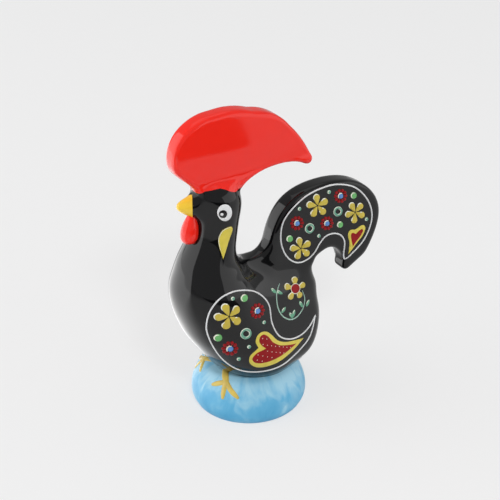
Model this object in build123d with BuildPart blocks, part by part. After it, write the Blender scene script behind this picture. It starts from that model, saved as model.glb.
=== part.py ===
from build123d import *
import os
from collections import namedtuple
from math import acos, cos, degrees, radians, sin

# Glazed earthenware rooster on a bell base: a hollow body with a fan tail, a large comb and raised
# enamel ornament. Millimetres. +Z is up, the rooster faces -X, and its left side faces -Y.
# The origin is the centre of the foot ring, on the table.

# A hair's breadth, to tell a face from its neighbour
fit = 0.01

# Bell base
foot_radius = 22.3
bell_radius = 23.5
bell_radius_height = 4.0
shoulder_radius = 20.1
shoulder_height = 13.4
seat_radius = 14.5
seat_height = 17.0
bell_wall = 3.2

# Body shell
shell_wall = 3.2
vent_radius = 3.0
Station = namedtuple("Station", "rise front_x front_r rear_x rear_r")
Ring = namedtuple("Ring", "rise x r")

# Level cuts through the trunk, by their rise above the seat: a large round in front, a small one behind.
TRUNK = (
    Station(rise=0.0, front_x=3.0, front_r=15.0, rear_x=13.5, rear_r=12.0),
    Station(rise=2.5, front_x=2.2, front_r=18.0, rear_x=16.0, rear_r=13.6),
    Station(rise=6.0, front_x=0.3, front_r=19.2, rear_x=19.0, rear_r=12.6),
    Station(rise=11.0, front_x=-2.9, front_r=19.5, rear_x=22.0, rear_r=10.9),
    Station(rise=17.0, front_x=-7.0, front_r=19.2, rear_x=24.6, rear_r=8.4),
    Station(rise=23.0, front_x=-10.9, front_r=18.6, rear_x=25.9, rear_r=6.4),
    Station(rise=28.0, front_x=-13.4, front_r=18.1, rear_x=25.4, rear_r=5.5),
    Station(rise=32.0, front_x=-15.0, front_r=17.8, rear_x=21.0, rear_r=5.3),
    Station(rise=36.0, front_x=-16.3, front_r=17.4, rear_x=13.6, rear_r=5.4),
    Station(rise=40.0, front_x=-17.3, front_r=16.8, rear_x=4.8, rear_r=5.8),
    Station(rise=44.0, front_x=-18.1, front_r=15.7, rear_x=-4.0, rear_r=6.4),
    Station(rise=48.0, front_x=-18.8, front_r=14.0, rear_x=-10.2, rear_r=7.2),
    Station(rise=52.0, front_x=-19.1, front_r=12.5, rear_x=-13.2, rear_r=7.2),
)
# Round cuts through the neck and the dome of the head.
NECK = (
    Ring(rise=56.0, x=-18.9, r=11.1),
    Ring(rise=60.0, x=-17.7, r=10.1),
    Ring(rise=64.0, x=-16.3, r=9.4),
    Ring(rise=68.0, x=-15.4, r=9.15),
    Ring(rise=72.0, x=-14.9, r=9.35),
    Ring(rise=76.0, x=-14.6, r=9.6),
    Ring(rise=80.0, x=-15.0, r=9.45),
    Ring(rise=83.0, x=-15.7, r=8.5),
    Ring(rise=85.5, x=-16.2, r=6.4),
    Ring(rise=87.2, x=-16.3, r=3.2),
)
# Level cuts through the saddle, the narrow ridge of the back from the neck to the tail.
SADDLE = (
    Station(rise=34.0, front_x=-10.0, front_r=10.5, rear_x=9.0, rear_r=6.6),
    Station(rise=39.0, front_x=-11.5, front_r=7.6, rear_x=9.2, rear_r=4.6),
    Station(rise=44.0, front_x=-12.5, front_r=5.4, rear_x=9.2, rear_r=3.3),
    Station(rise=48.4, front_x=-13.0, front_r=4.2, rear_x=9.2, rear_r=2.2),
)
nape_share = 0.5
nape_lift = 0.1
thinnest_round = 0.5

# Muzzle, which carries the beak: its axis from the head to the beak's tip, and level cuts across it
muzzle_root = (-17.0, 76.8)
beak_tip = (-32.0, 80.0)
muzzle_heights = (5.6, 4.9, 3.5, 1.0)
muzzle_widths = (4.8, 4.0, 2.9, 0.9)
muzzle_shares = (0.0, 0.42, 0.72, 1.0)
beak_root_x = -25.8
beak_root_sweep = 0.6

# Tail
tail_thickness = 8.0
tail_edge_round = 1.6
tail_root_rise = 37.0
hook_tip = (44.0, 25.6)
hook_tip_round = 1.8
# Level cuts through its root, where it spreads to meet the flanks.
TAIL_ROOT = (
    Station(rise=25.0, front_x=0.2, front_r=12.4, rear_x=26.0, rear_r=5.3),
    Station(rise=30.0, front_x=3.9, front_r=9.6, rear_x=25.6, rear_r=4.9),
    Station(rise=34.5, front_x=7.2, front_r=6.6, rear_x=25.5, rear_r=4.5),
    Station(rise=39.0, front_x=9.6, front_r=4.08, rear_x=26.0, rear_r=4.04),
)

# Comb
comb_thickness = 8.6
comb_edge_round = 1.7
comb_root_rise = 77.0
comb_tip = (29.4, 81.0)
comb_tip_round = 2.2
notch_round = 5.0
# Level cuts through its root, where it spreads over the dome of the head.
COMB_ROOT = (
    Station(rise=83.5, front_x=-18.0, front_r=6.2, rear_x=-11.6, rear_r=6.2),
    Station(rise=87.5, front_x=-19.6, front_r=4.95, rear_x=-9.6, rear_r=4.95),
    Station(rise=93.0, front_x=-20.4, front_r=4.36, rear_x=-9.0, rear_r=4.36),
)
# The scallops of its rim behind the brow: a point on each, and where each ends.
comb_lobes = (
    ((-22.5, 113.7), (-16.0, 114.3)),
    ((-7.5, 113.9), (1.0, 111.2)),
    ((10.0, 107.8), (17.2, 101.2)),
    ((24.2, 92.2), comb_tip),
)

# Wattle
wattle_x = -27.0
wattle_top = 79.0
wattle_waist = 65.9
wattle_bottom = 62.9
wattle_radius = 3.5
wattle_shoulder = (2.5, 72.5)

# Legs in low relief on the shoulder of the bell, drawn about the ankle on a plane that leans back with it
leg_relief = 0.5
left_leg_turn = 26.0
right_leg_turn = 36.0
leg_lean = 45.0
ankle_radius = 18.2
ankle_height = 15.3
shank_top = (-3.1, 4.9)
shank_width = 2.7
toe_tips = ((-5.3, -2.2), (0.7, -5.9), (6.6, -3.9))
toe_width = 1.9

# Raised enamel, drawn on the bird's left side by X and the rise above the seat
enamel_relief = 0.35
enamel_gap = 0.15
line_width = 0.8
skin_depth = 3.0
enamel_reach = 30.0
petal_count = 5
petal_place = 0.62
petal_half_length = 0.38
petal_half_width = 0.31
scallop_count = 10
scallop_size = 0.2
red_hole = 0.45
ring_hole = 0.55
Spot = namedtuple("Spot", "x rise r")
Loop = namedtuple("Loop", "corner out turn back")
Panel = namedtuple(
    "Panel", "yellow_flowers red_flowers mint_rings green_dots pearls border heart heart_middle fill_share"
)

# The marks on the wing. Its border is a comma: up the round of the breast, then down to the tip behind.
WING = Panel(
    yellow_flowers=(Spot(-20.2, 36.5, 5.5),),
    red_flowers=(Spot(-6.2, 33.1, 3.8), Spot(-19.3, 20.8, 3.3)),
    mint_rings=(Spot(-13.4, 26.8, 2.6),),
    green_dots=(Spot(-12.5, 41.4, 1.7), Spot(-23.8, 26.8, 1.6)),
    pearls=(Spot(-17.9, 43.3, 0.9), Spot(-3.5, 27.1, 1.0), Spot(-12.3, 20.5, 1.0), Spot(-15.6, 14.8, 1.0)),
    border=Loop(
        corner=(27.3, 15.3),
        out=((22.0, 8.6), (15.3, 6.4), (5.8, 5.7), (-4.2, 5.7), (-13.0, 7.0), (-18.7, 11.8)),
        turn=(-23.4, 19.2),
        back=(
            (-26.6, 27.0), (-27.8, 33.5), (-26.6, 40.2), (-22.6, 44.6), (-16.5, 45.5), (-9.6, 42.9), (-2.8, 37.8),
            (0.8, 32.0), (0.9, 25.0), (3.6, 18.2), (9.6, 13.8), (16.6, 12.0), (22.4, 12.7),
        ),
    ),
    heart=Loop(
        corner=(-6.2, 17.8),
        out=((-8.2, 20.2), (-8.2, 23.2), (-5.2, 24.2), (-1.8, 21.8), (1.5, 17.6), (7.0, 13.2)),
        turn=(17.9, 9.8),
        back=((11.0, 7.2), (-2.4, 7.8), (-8.6, 9.0), (-12.0, 13.2), (-10.7, 16.3), (-8.3, 16.9)),
    ),
    heart_middle=(-1.0, 14.0),
    fill_share=0.78,
)
# The marks on the tail. Its border follows the fan, then the inside of the hook.
TAIL = Panel(
    yellow_flowers=(Spot(30.1, 63.1, 5.4), Spot(49.3, 54.1, 5.3), Spot(22.4, 46.1, 5.4)),
    red_flowers=(Spot(41.5, 64.0, 3.5), Spot(20.3, 58.3, 3.4), Spot(35.1, 53.5, 3.5)),
    mint_rings=(Spot(40.4, 57.3, 2.5), Spot(26.5, 54.0, 2.6)),
    green_dots=(Spot(48.1, 62.2, 1.7), Spot(41.7, 50.8, 1.7), Spot(16.8, 52.4, 1.7)),
    pearls=(Spot(35.6, 67.6, 0.9), Spot(21.3, 64.5, 0.9), Spot(31.2, 49.0, 0.9), Spot(55.3, 49.0, 0.9)),
    border=Loop(
        corner=(45.4, 32.9),
        out=(
            (44.4, 37.0), (44.4, 41.9), (42.4, 45.6), (38.6, 47.7), (34.6, 47.6), (31.8, 45.3), (29.4, 42.0),
            (26.0, 39.9), (21.4, 39.8), (17.0, 42.8),
        ),
        turn=(13.8, 48.2),
        back=(
            (12.5, 54.5), (13.6, 60.8), (17.7, 65.4), (24.4, 68.6), (32.3, 69.7), (40.0, 69.0), (48.5, 65.4),
            (54.9, 58.8), (57.9, 51.6), (57.4, 45.0), (53.6, 38.6),
        ),
    ),
    heart=Loop(
        corner=(50.9, 45.2),
        out=((52.6, 46.6), (54.9, 46.0), (55.4, 43.2)),
        turn=(47.2, 35.4),
        back=((47.4, 40.0), (46.3, 44.2), (47.6, 46.6), (49.5, 46.4)),
    ),
    heart_middle=(50.4, 42.6),
    fill_share=0.7,
)
# The sprig between them: a flower on a curling stem with leaves, each by its middle and its slope.
sprig_flower = Spot(17.2, 30.7, 5.7)
sprig_centre_r = 2.0
sprig_petal_r = 1.5
sprig_vine = ((22.0, 27.6), (22.4, 24.2), (20.4, 21.0), (16.0, 19.7), (11.6, 20.7), (7.3, 24.5), (5.8, 28.6),
              (6.1, 32.7), (7.7, 34.7))
sprig_vine_width = 0.5
sprig_leaves = ((19.6, 23.6, 40), (24.4, 22.2, -30), (14.8, 22.0, 65), (10.4, 25.0, 30), (4.0, 33.6, -40),
                (8.4, 31.6, -30))
leaf_length = 2.8
leaf_width = 1.4

# Eye and cheek feather
eye_relief = 0.4
pupil_relief = 0.25
glint_relief = 0.2
eye_place = (-16.5, 77.0)
eye_width = 6.2
eye_height = 7.6
pupil = Spot(-17.4, 76.8, 1.5)
glint = Spot(-17.9, 76.9, 0.55)
feather_tip = (-18.5, 58.1)
feather_side = ((-19.4, 65.6), (-17.6, 69.9), (-14.6, 70.6), (-13.0, 68.4), (-15.4, 63.4))

os.makedirs("parts", exist_ok=True)

# The bird's left side seen square on: X along the table, Y the rise above the seat, normal to the left.
side_plane = Plane(origin=(0, 0, seat_height), x_dir=(1, 0, 0), z_dir=(0, -1, 0))


def teardrop(front_x, front_r, rear_x, rear_r):
    """A closed outline drawn round two circles on the X axis, as a face of the sketch in hand."""
    lean = acos((front_r - rear_r) / (rear_x - front_x))
    sweep = 180 - degrees(lean)
    with BuildLine() as outline:
        CenterArc((front_x, 0), front_r, 180, -sweep)
        CenterArc((front_x, 0), front_r, 180, sweep)
        for side in (1, -1):
            front_touch = (front_x + front_r * cos(lean), side * front_r * sin(lean))
            rear_touch = (rear_x + rear_r * cos(lean), side * rear_r * sin(lean))
            Line(front_touch, rear_touch)
            CenterArc((rear_x, 0), rear_r, 0, side * degrees(lean))
    make_face(outline.edges())


def neck_station(ring):
    """The round of the neck as a station: its rear circle stands just proud of the front one."""
    rear_r = ring.r * nape_share
    return Station(ring.rise, ring.x, ring.r, ring.x + ring.r - rear_r + nape_lift, rear_r)


def body_form(inset=0.0):
    """The solid form of the body, moved in by an inset, or out where that is negative."""
    stations = TRUNK + tuple(neck_station(ring) for ring in NECK)
    with BuildPart() as form:
        for cut in stations:
            if cut.rear_r - inset < thinnest_round:
                continue
            with BuildSketch(Plane.XY.offset(seat_height + cut.rise)):
                teardrop(cut.front_x, cut.front_r - inset, cut.rear_x, cut.rear_r - inset)
        loft()
    return form.part


with BuildPart() as saddle:
    for cut in SADDLE:
        with BuildSketch(Plane.XY.offset(seat_height + cut.rise)):
            teardrop(cut.front_x, cut.front_r, cut.rear_x, cut.rear_r)
    loft()


def bell_form(inset=0.0):
    """The solid form of the bell, moved in by an inset, or out where that is negative."""
    top = seat_height - max(inset, 0.0)
    with BuildPart() as form:
        with BuildSketch(Plane.XZ):
            with BuildLine():
                foot = Line((0, 0), (foot_radius - inset, 0))
                side = Spline(
                    foot @ 1,
                    (bell_radius - inset, bell_radius_height),
                    (shoulder_radius - inset, shoulder_height),
                    (seat_radius - inset, top),
                )
                Line(side @ 1, (0, top))
                Line((0, top), (0, 0))
            make_face()
        revolve(axis=Axis.Z)
    return form.part


# Muzzle and beak are one blunt cone, parted by two upright faces that meet in the middle
muzzle_run = Vector(beak_tip[0] - muzzle_root[0], 0, beak_tip[1] - muzzle_root[1])
muzzle_origin = Vector(muzzle_root[0], 0, seat_height + muzzle_root[1])
with BuildPart() as muzzle_cone:
    for share, height, width in zip(muzzle_shares, muzzle_heights, muzzle_widths):
        with BuildSketch(Plane(origin=muzzle_origin + muzzle_run * share, x_dir=(0, 1, 0), z_dir=muzzle_run)):
            Ellipse(width, height)
    loft()
with BuildPart() as muzzle_side:
    with BuildSketch(Plane.XY):
        with BuildLine():
            Polyline(
                (beak_root_x, 0),
                (beak_root_x - beak_root_sweep * muzzle_widths[0], muzzle_widths[0]),
                (muzzle_root[0] + shell_wall, muzzle_widths[0]),
                (muzzle_root[0] + shell_wall, -muzzle_widths[0]),
                (beak_root_x - beak_root_sweep * muzzle_widths[0], -muzzle_widths[0]),
                close=True,
            )
        make_face()
    extrude(amount=seat_height + 2 * muzzle_root[1])

with BuildPart() as muzzle:
    add(muzzle_cone.part)
    add(muzzle_side.part, mode=Mode.INTERSECT)

with BuildPart() as body_outside:
    add(body_form())
    add(saddle.part)
    add(muzzle.part)
body_solid = body_outside.part

# Bell base, open underneath
bell_hollow = bell_form(bell_wall)
with BuildPart() as base_bell:
    add(bell_form())
    add(bell_hollow, mode=Mode.SUBTRACT)
    with Locations((0, 0, seat_height)):
        Hole(vent_radius)
base_bell.part.label = "base_bell"
export_step(base_bell.part, "parts/base_bell.step")

# Body, neck and head as one hollow casting, with its firing vent over the bell's
with BuildPart() as cavity:
    add(body_form(shell_wall))
    split(bisect_by=Plane.XY.offset(seat_height + shell_wall), keep=Keep.TOP)
with BuildPart() as body:
    add(body_solid)
    add(cavity.part, mode=Mode.SUBTRACT)
    with BuildSketch(Plane.XY.offset(seat_height)):
        Circle(vent_radius)
    extrude(amount=2 * shell_wall, mode=Mode.SUBTRACT)
body.part.label = "body"
export_step(body.part, "parts/body.step")


def tail_form(grow=0.0):
    """The tail before it is fitted to the back, its faces moved out by an amount."""
    half = tail_thickness / 2 + grow
    with BuildPart() as form:
        with BuildSketch(side_plane):
            with BuildLine():
                fan = Spline(
                    (8.0, tail_root_rise),
                    (8.4, 52.0),
                    (16.0, 67.0),
                    (34.0, 71.5),
                    (53.5, 65.4),
                    (62.8, 49.0),
                    (57.2, 33.8),
                    hook_tip,
                    tangents=((0, 1), (-0.8, -0.45)),
                )
                hook = Spline(
                    hook_tip,
                    (45.2, 32.2),
                    (42.4, 37.8),
                    (36.2, 40.9),
                    (32.0, 39.6),
                    (30.0, tail_root_rise),
                    tangents=((0.1, 1), (-0.25, -1)),
                )
                Line(hook @ 1, fan @ 0)
            outline = make_face()
            fillet(outline.vertices().sort_by_distance(hook_tip)[0], hook_tip_round)
        extrude(amount=half, both=True)
        rim = form.faces().filter_by(Axis.Y).edges()
        fillet(rim.filter_by(lambda edge: edge.center().Z > seat_height + tail_root_rise + fit), tail_edge_round)
        for cut in TAIL_ROOT:
            with BuildSketch(Plane.XY.offset(seat_height + cut.rise)):
                teardrop(cut.front_x, cut.front_r + grow, cut.rear_x, cut.rear_r + grow)
        loft()
    return form.part


tail_solid = tail_form()
with BuildPart() as tail:
    add(tail_solid)
    add(body_solid, mode=Mode.SUBTRACT)
tail.part.label = "tail"
export_step(tail.part, "parts/tail.step")


def comb_form(grow=0.0):
    """The comb before it is fitted to the crown, its faces moved out by an amount."""
    with BuildPart() as form:
        with BuildSketch(side_plane) as outline_sketch:
            with BuildLine():
                front = Spline(
                    (-21.0, comb_root_rise),
                    (-25.4, 86.4),
                    (-33.2, 94.6),
                    (-34.4, 99.5),
                    tangents=((-0.3, 1), (0, 1)),
                )
                brow = TangentArc(front @ 1, (-28.0, 111.2), tangent=front % 1)
                lobes = [brow]
                for middle, end in comb_lobes:
                    lobes.append(ThreePointArc(lobes[-1] @ 1, middle, end))
                under = Spline(
                    lobes[-1] @ 1,
                    (22.4, 84.0),
                    (13.6, 86.1),
                    (4.0, 85.6),
                    (-2.6, 83.4),
                    (-8.0, comb_root_rise),
                    tangents=((-0.9, 0.1), (-0.5, -1)),
                )
                Line(under @ 1, front @ 0)
            make_face()
            fillet(outline_sketch.vertices().sort_by_distance(comb_tip)[0], comb_tip_round)
            notches = [(lobe @ 1) for lobe in lobes[:-1]]
            for notch in notches:
                fillet(outline_sketch.vertices().sort_by_distance(notch)[0], notch_round)
        extrude(amount=comb_thickness / 2 + grow, both=True)
        rim = form.faces().filter_by(Axis.Y).edges()
        fillet(rim.filter_by(lambda edge: edge.center().Z > seat_height + comb_root_rise + fit), comb_edge_round)
        for cut in COMB_ROOT:
            with BuildSketch(Plane.XY.offset(seat_height + cut.rise)):
                teardrop(cut.front_x, cut.front_r + grow, cut.rear_x, cut.rear_r + grow)
        loft()
    return form.part


with BuildPart() as comb:
    add(comb_form())
    add(body_solid, mode=Mode.SUBTRACT)
comb.part.label = "comb"
export_step(comb.part, "parts/comb.step")

# Beak, the yellow end of the muzzle
with BuildPart() as beak:
    add(muzzle_cone.part)
    add(body_solid, mode=Mode.SUBTRACT)
beak.part.label = "beak"
export_step(beak.part, "parts/beak.step")

# Wattle, a drop hanging under the beak
with BuildPart() as wattle:
    with BuildSketch(Plane(origin=(wattle_x, 0, seat_height), x_dir=(1, 0, 0), z_dir=(0, -1, 0))):
        with BuildLine():
            drop = Spline(
                (0, wattle_top),
                wattle_shoulder,
                (wattle_radius, wattle_waist),
                (0, wattle_bottom),
                tangents=((0.6, -1), (-1, 0)),
            )
            Line(drop @ 1, drop @ 0)
        make_face()
    revolve(axis=Axis((wattle_x, 0, 0), (0, 0, 1)))
    add(body_solid, mode=Mode.SUBTRACT)
    add(beak.part, mode=Mode.SUBTRACT)
wattle.part.label = "wattle"
export_step(wattle.part, "parts/wattle.step")


def on_both_sides(name, left_piece, right_twin=None):
    """Write a piece of the bird's left side, and for the right the mirror image of it or of its twin."""
    with BuildPart() as left:
        add(left_piece)
    left.part.label = f"left_{name}"
    export_step(left.part, f"parts/left_{name}.step")
    with BuildPart() as right:
        mirror(right_twin or left_piece, about=Plane.XZ)
    right.part.label = f"right_{name}"
    export_step(right.part, f"parts/right_{name}.step")


def leg_form(turn):
    """A leg on the left of the bell, turned from the front by an angle."""
    out = (-cos(radians(turn)), -sin(radians(turn)))
    leg_plane = Plane(
        origin=(ankle_radius * out[0], ankle_radius * out[1], ankle_height),
        x_dir=(-out[1], out[0], 0),
        z_dir=(out[0] * cos(radians(leg_lean)), out[1] * cos(radians(leg_lean)), sin(radians(leg_lean))),
    )
    with BuildPart() as form:
        with BuildSketch(leg_plane):
            with BuildLine() as shank:
                Line(shank_top, (0, 0))
            trace(shank.line, shank_width)
            for tip in toe_tips:
                with BuildLine() as toe:
                    Line((0, 0), tip)
                trace(toe.line, toe_width)
                with Locations(tip):
                    Circle(toe_width / 2)
            Circle(shank_width / 2)
        extrude(amount=seat_height / 2, both=True)
        add(bell_form(-leg_relief), mode=Mode.INTERSECT)
        add(bell_form(), mode=Mode.SUBTRACT)
        add(body_solid, mode=Mode.SUBTRACT)
    return form.part


on_both_sides("leg", leg_form(left_leg_turn), leg_form(right_leg_turn))

# The form that the enamel lies on, and the thin skin of its thickness over the left side
with BuildPart() as flank:
    add(body_form())
    add(tail_solid)
    split(bisect_by=side_plane.offset(skin_depth), keep=Keep.TOP)
with BuildPart() as flank_skin:
    add(body_form(-enamel_relief))
    add(tail_form(enamel_relief))
    split(bisect_by=side_plane.offset(skin_depth), keep=Keep.TOP)
    add(flank.part, mode=Mode.SUBTRACT)

# The same skin over the flat of the tail
with BuildPart() as tail_skin:
    with BuildSketch(side_plane.offset(tail_thickness / 2)):
        with Locations((hook_tip[0], hook_tip[1] + tail_root_rise)):
            Rectangle(2 * hook_tip[0], 2 * tail_root_rise)
    extrude(amount=enamel_relief)


def enamel(name, drawing, skin):
    """A mark of enamel on each side: a drawing thrown onto the skin."""
    with BuildPart() as mark:
        extrude(drawing, amount=enamel_reach)
        add(skin, mode=Mode.INTERSECT)
    on_both_sides(name, mark.part)


def petals(spots):
    """Five-petalled flowers, as a drawing on the side."""
    with BuildSketch(side_plane) as drawing:
        for spot in spots:
            with Locations((spot.x, spot.rise)):
                with PolarLocations(spot.r * petal_place, petal_count, start_angle=90):
                    Ellipse(spot.r * petal_half_length, spot.r * petal_half_width)
    return drawing.sketch


def scalloped_rings(spots):
    """Red flowers with a scalloped edge, open in the middle, as a drawing on the side."""
    with BuildSketch(side_plane) as drawing:
        for spot in spots:
            with Locations((spot.x, spot.rise)):
                Circle(spot.r * (1 - scallop_size))
                with PolarLocations(spot.r * (1 - scallop_size), scallop_count):
                    Circle(spot.r * scallop_size)
                Circle(spot.r * red_hole, mode=Mode.SUBTRACT)
    return drawing.sketch


def discs(spots, share=1.0, trim=0.0):
    """Round dots, as a drawing on the side."""
    with BuildSketch(side_plane) as drawing:
        for spot in spots:
            with Locations((spot.x, spot.rise)):
                Circle(spot.r * share - trim)
    return drawing.sketch


def rings(spots):
    """Round rings, as a drawing on the side."""
    with BuildSketch(side_plane) as drawing:
        for spot in spots:
            with Locations((spot.x, spot.rise)):
                Circle(spot.r)
                Circle(spot.r * ring_hole, mode=Mode.SUBTRACT)
    return drawing.sketch


def inset_loop(loop, width):
    """A clockwise loop, each point moved in by a width."""
    points = (loop.corner, *loop.out, loop.turn, *loop.back)
    moved = []
    for before, here, after in zip((points[-1], *points), points, (*points[1:], points[0])):
        arriving = Vector(here[0] - before[0], here[1] - before[1]).normalized()
        leaving = Vector(after[0] - here[0], after[1] - here[1]).normalized()
        inward = Vector(arriving.Y + leaving.Y, -arriving.X - leaving.X) * (width / (1 + arriving.dot(leaving)))
        moved.append((here[0] + inward.X, here[1] + inward.Y))
    turn = len(loop.out) + 1
    return Loop(moved[0], moved[1:turn], moved[turn], moved[turn + 1 :])


def shrunk_loop(loop, middle, share):
    """A loop drawn in towards its middle, to a share of its size."""

    def nearer(point):
        return tuple(at + (value - at) * share for value, at in zip(point, middle))

    return Loop(
        nearer(loop.corner), [nearer(p) for p in loop.out], nearer(loop.turn), [nearer(p) for p in loop.back]
    )


def loop_face(loop, hole=None):
    """A closed outline with a corner at its start and its turn, less the one inside it, as a drawing on the side."""
    with BuildSketch(side_plane) as drawing:
        for edge_of, mode in ((loop, Mode.ADD), (hole, Mode.SUBTRACT)):
            if edge_of:
                with BuildLine() as outline:
                    Spline(edge_of.corner, *edge_of.out, edge_of.turn)
                    Spline(edge_of.turn, *edge_of.back, edge_of.corner)
                make_face(outline.edges(), mode=mode)
    return drawing.sketch


for place, panel, skin in (("wing", WING, flank_skin.part), ("tail", TAIL, tail_skin.part)):
    heart_fill = shrunk_loop(panel.heart, panel.heart_middle, panel.fill_share)
    enamel(f"{place}_border", loop_face(panel.border, inset_loop(panel.border, line_width)), skin)
    enamel(f"{place}_yellow_flowers", petals(panel.yellow_flowers), skin)
    enamel(f"{place}_red_flowers", scalloped_rings(panel.red_flowers), skin)
    enamel(f"{place}_blue_centres", discs(panel.red_flowers, red_hole, enamel_gap), skin)
    enamel(f"{place}_mint_rings", rings(panel.mint_rings), skin)
    enamel(f"{place}_green_dots", discs(panel.green_dots), skin)
    enamel(f"{place}_pearls", discs(panel.pearls), skin)
    enamel(f"{place}_heart_rim", loop_face(panel.heart, heart_fill), skin)
    enamel(f"{place}_heart_fill", loop_face(heart_fill), skin)

# Sprig
with BuildSketch(side_plane) as sprig_petals:
    with Locations((sprig_flower.x, sprig_flower.rise)):
        with PolarLocations(sprig_flower.r - sprig_petal_r, petal_count, start_angle=90):
            Circle(sprig_petal_r)
enamel("sprig_petals", sprig_petals.sketch, flank_skin.part)
with BuildSketch(side_plane) as sprig_centre:
    with Locations((sprig_flower.x, sprig_flower.rise)):
        Circle(sprig_centre_r)
enamel("sprig_centre", sprig_centre.sketch, flank_skin.part)
with BuildSketch(side_plane) as sprig_stem:
    with BuildLine() as stem_line:
        Spline(*sprig_vine)
    trace(stem_line.line, sprig_vine_width)
enamel("sprig_vine", sprig_stem.sketch, flank_skin.part)
with BuildSketch(side_plane) as sprig_leaf:
    for x, rise, slope in sprig_leaves:
        with Locations((x, rise)):
            Ellipse(leaf_length / 2, leaf_width / 2, rotation=slope)
enamel("sprig_leaves", sprig_leaf.sketch, flank_skin.part)


def head_skin(low, high):
    """The thin skin over the left of the head and neck between two heights above the glaze."""
    with BuildPart() as skin:
        add(body_form(-high))
        split(bisect_by=side_plane.offset(skin_depth), keep=Keep.TOP)
        split(bisect_by=Plane.XY.offset(seat_height + feather_tip[1] - eye_height), keep=Keep.TOP)
        add(body_form(-low), mode=Mode.SUBTRACT)
    return skin.part


# Eye, as white, pupil and glint one on the other, and the feather below it
eye_skin = head_skin(0.0, eye_relief)
with BuildSketch(side_plane) as eye_white:
    with Locations(eye_place):
        Ellipse(eye_width / 2, eye_height / 2)
enamel("eye_white", eye_white.sketch, eye_skin)
enamel("pupil", discs((pupil,)), head_skin(eye_relief, eye_relief + pupil_relief))
enamel("glint", discs((glint,)), head_skin(eye_relief + pupil_relief, eye_relief + pupil_relief + glint_relief))
with BuildSketch(side_plane) as feather:
    with BuildLine():
        Spline(feather_tip, *feather_side, feather_tip)
    make_face()
enamel("cheek_feather", feather.sketch, eye_skin)
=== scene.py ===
from math import cos, pi, radians, sin

import bpy
import numpy as np
import openvdb
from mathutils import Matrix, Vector
from mathutils.bvhtree import BVHTree


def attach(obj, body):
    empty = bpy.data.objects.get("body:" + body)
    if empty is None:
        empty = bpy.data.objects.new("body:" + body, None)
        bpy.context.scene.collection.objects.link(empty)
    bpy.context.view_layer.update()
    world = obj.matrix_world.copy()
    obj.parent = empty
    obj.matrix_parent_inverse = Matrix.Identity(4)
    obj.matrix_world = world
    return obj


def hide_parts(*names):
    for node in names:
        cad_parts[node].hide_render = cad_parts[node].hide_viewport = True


# Looks of the glazed rooster: a smooth glaze skin over the clay, enamel laid on it, studio and camera.
# Shapes are worked out in millimetres in the part's frame and written to the meshes in metres.
# The bird faces -X and its left side faces -Y. A rise is a height above the seat, where body and bell meet.

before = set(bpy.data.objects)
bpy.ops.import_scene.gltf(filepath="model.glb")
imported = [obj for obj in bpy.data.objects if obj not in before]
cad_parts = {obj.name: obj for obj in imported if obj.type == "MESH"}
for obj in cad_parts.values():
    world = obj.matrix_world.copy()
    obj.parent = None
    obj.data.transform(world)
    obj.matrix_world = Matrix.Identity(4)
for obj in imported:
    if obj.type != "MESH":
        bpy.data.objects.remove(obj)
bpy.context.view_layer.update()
MM = 0.001

# Photograph: the camera's place and aim, and its picture scale
CAMERA_PLACE = (-263.1, -391.2, 351.1)
CAMERA_AIM = (0.52, -0.35, 67.85)
CAMERA_LENS = 101.4
CAMERA_SENSOR = 36.0

# Glaze skin: grid, fillets where the clay was luted, and smoothing, which is weaker away from the body
VOXEL = 0.5
SKIN_REACH = 14
TAIL_BLEND = 2.5
COMB_BLEND = 1.2
BEAK_BLEND = 0.6
CORNER_FILL = 4.0
SKIN_BLUR = 0.6
BLUR_REACH = 2.5
SKIN_PASSES = 40
SKIN_PULLS = (0.5, -0.53)
NORMAL_PULL = 0.5
STIFF_SHARE = 0.9
STIFF_FROM = 1.0
STIFF_RANGE = 3.0
SEAT_HEIGHT = 17.0
SEAT_SINK = 2.0
SEAT_MARGIN = 0.02
NEAR = 3.0
BEAK_ROOT_X = -25.1
BEAK_ROOT_SWEEP = 0.6

# Comb: half its thickness at the rim and inside it, its swell, and its painted edge on the head in X and rise
COMB_RIM_HALF = 2.2
COMB_HALF = 3.5
COMB_RIM_WIDTH = 1.4
COMB_DOME = 1.1
COMB_DOME_POWER = 1.5
COMB_MIDDLE = (-5.0, 101.0)
COMB_SPAN = (31.0, 15.0)
COMB_ROOT_RISE = 86.5
CROWN_LINE = (
    (-26.0, 84.0), (-24.2, 84.6), (-22.2, 85.6), (-20.1, 85.8), (-18.1, 85.9), (-16.5, 85.9), (-14.8, 85.2),
    (-13.0, 84.1), (-11.2, 83.2), (-9.8, 82.7), (-7.0, 82.2),
)

# Enamel: how marks are drawn, how far they stand up, and where they are thrown onto the skin from
SIDES = (("left", (1, 1, 1)), ("right", (1, -1, 1)))
LINE_HALF_WIDTH = 0.32
LINE_SIDES = 12
LINE_ACROSS = (-1, -0.8, -0.45, 0, 0.45, 0.8, 1)
LINE_ROUND = 0.9
DAB_LIFT = 0.38
DAB_RINGS = (0.35, 0.62, 0.82, 0.94, 1.0)
EDGE_SINK = -0.06
ROUND_SHARE = 0.8
DRAPE_FROM_Y = -80.0
MISSED_Y = -4.0
# The side, as seen, on which pale lines are painted as highlights: up and to the left, where the light comes
# from
LIGHT_SIDE = (-0.75, 0.66)
LIT_LIMIT = 0.15
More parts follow.
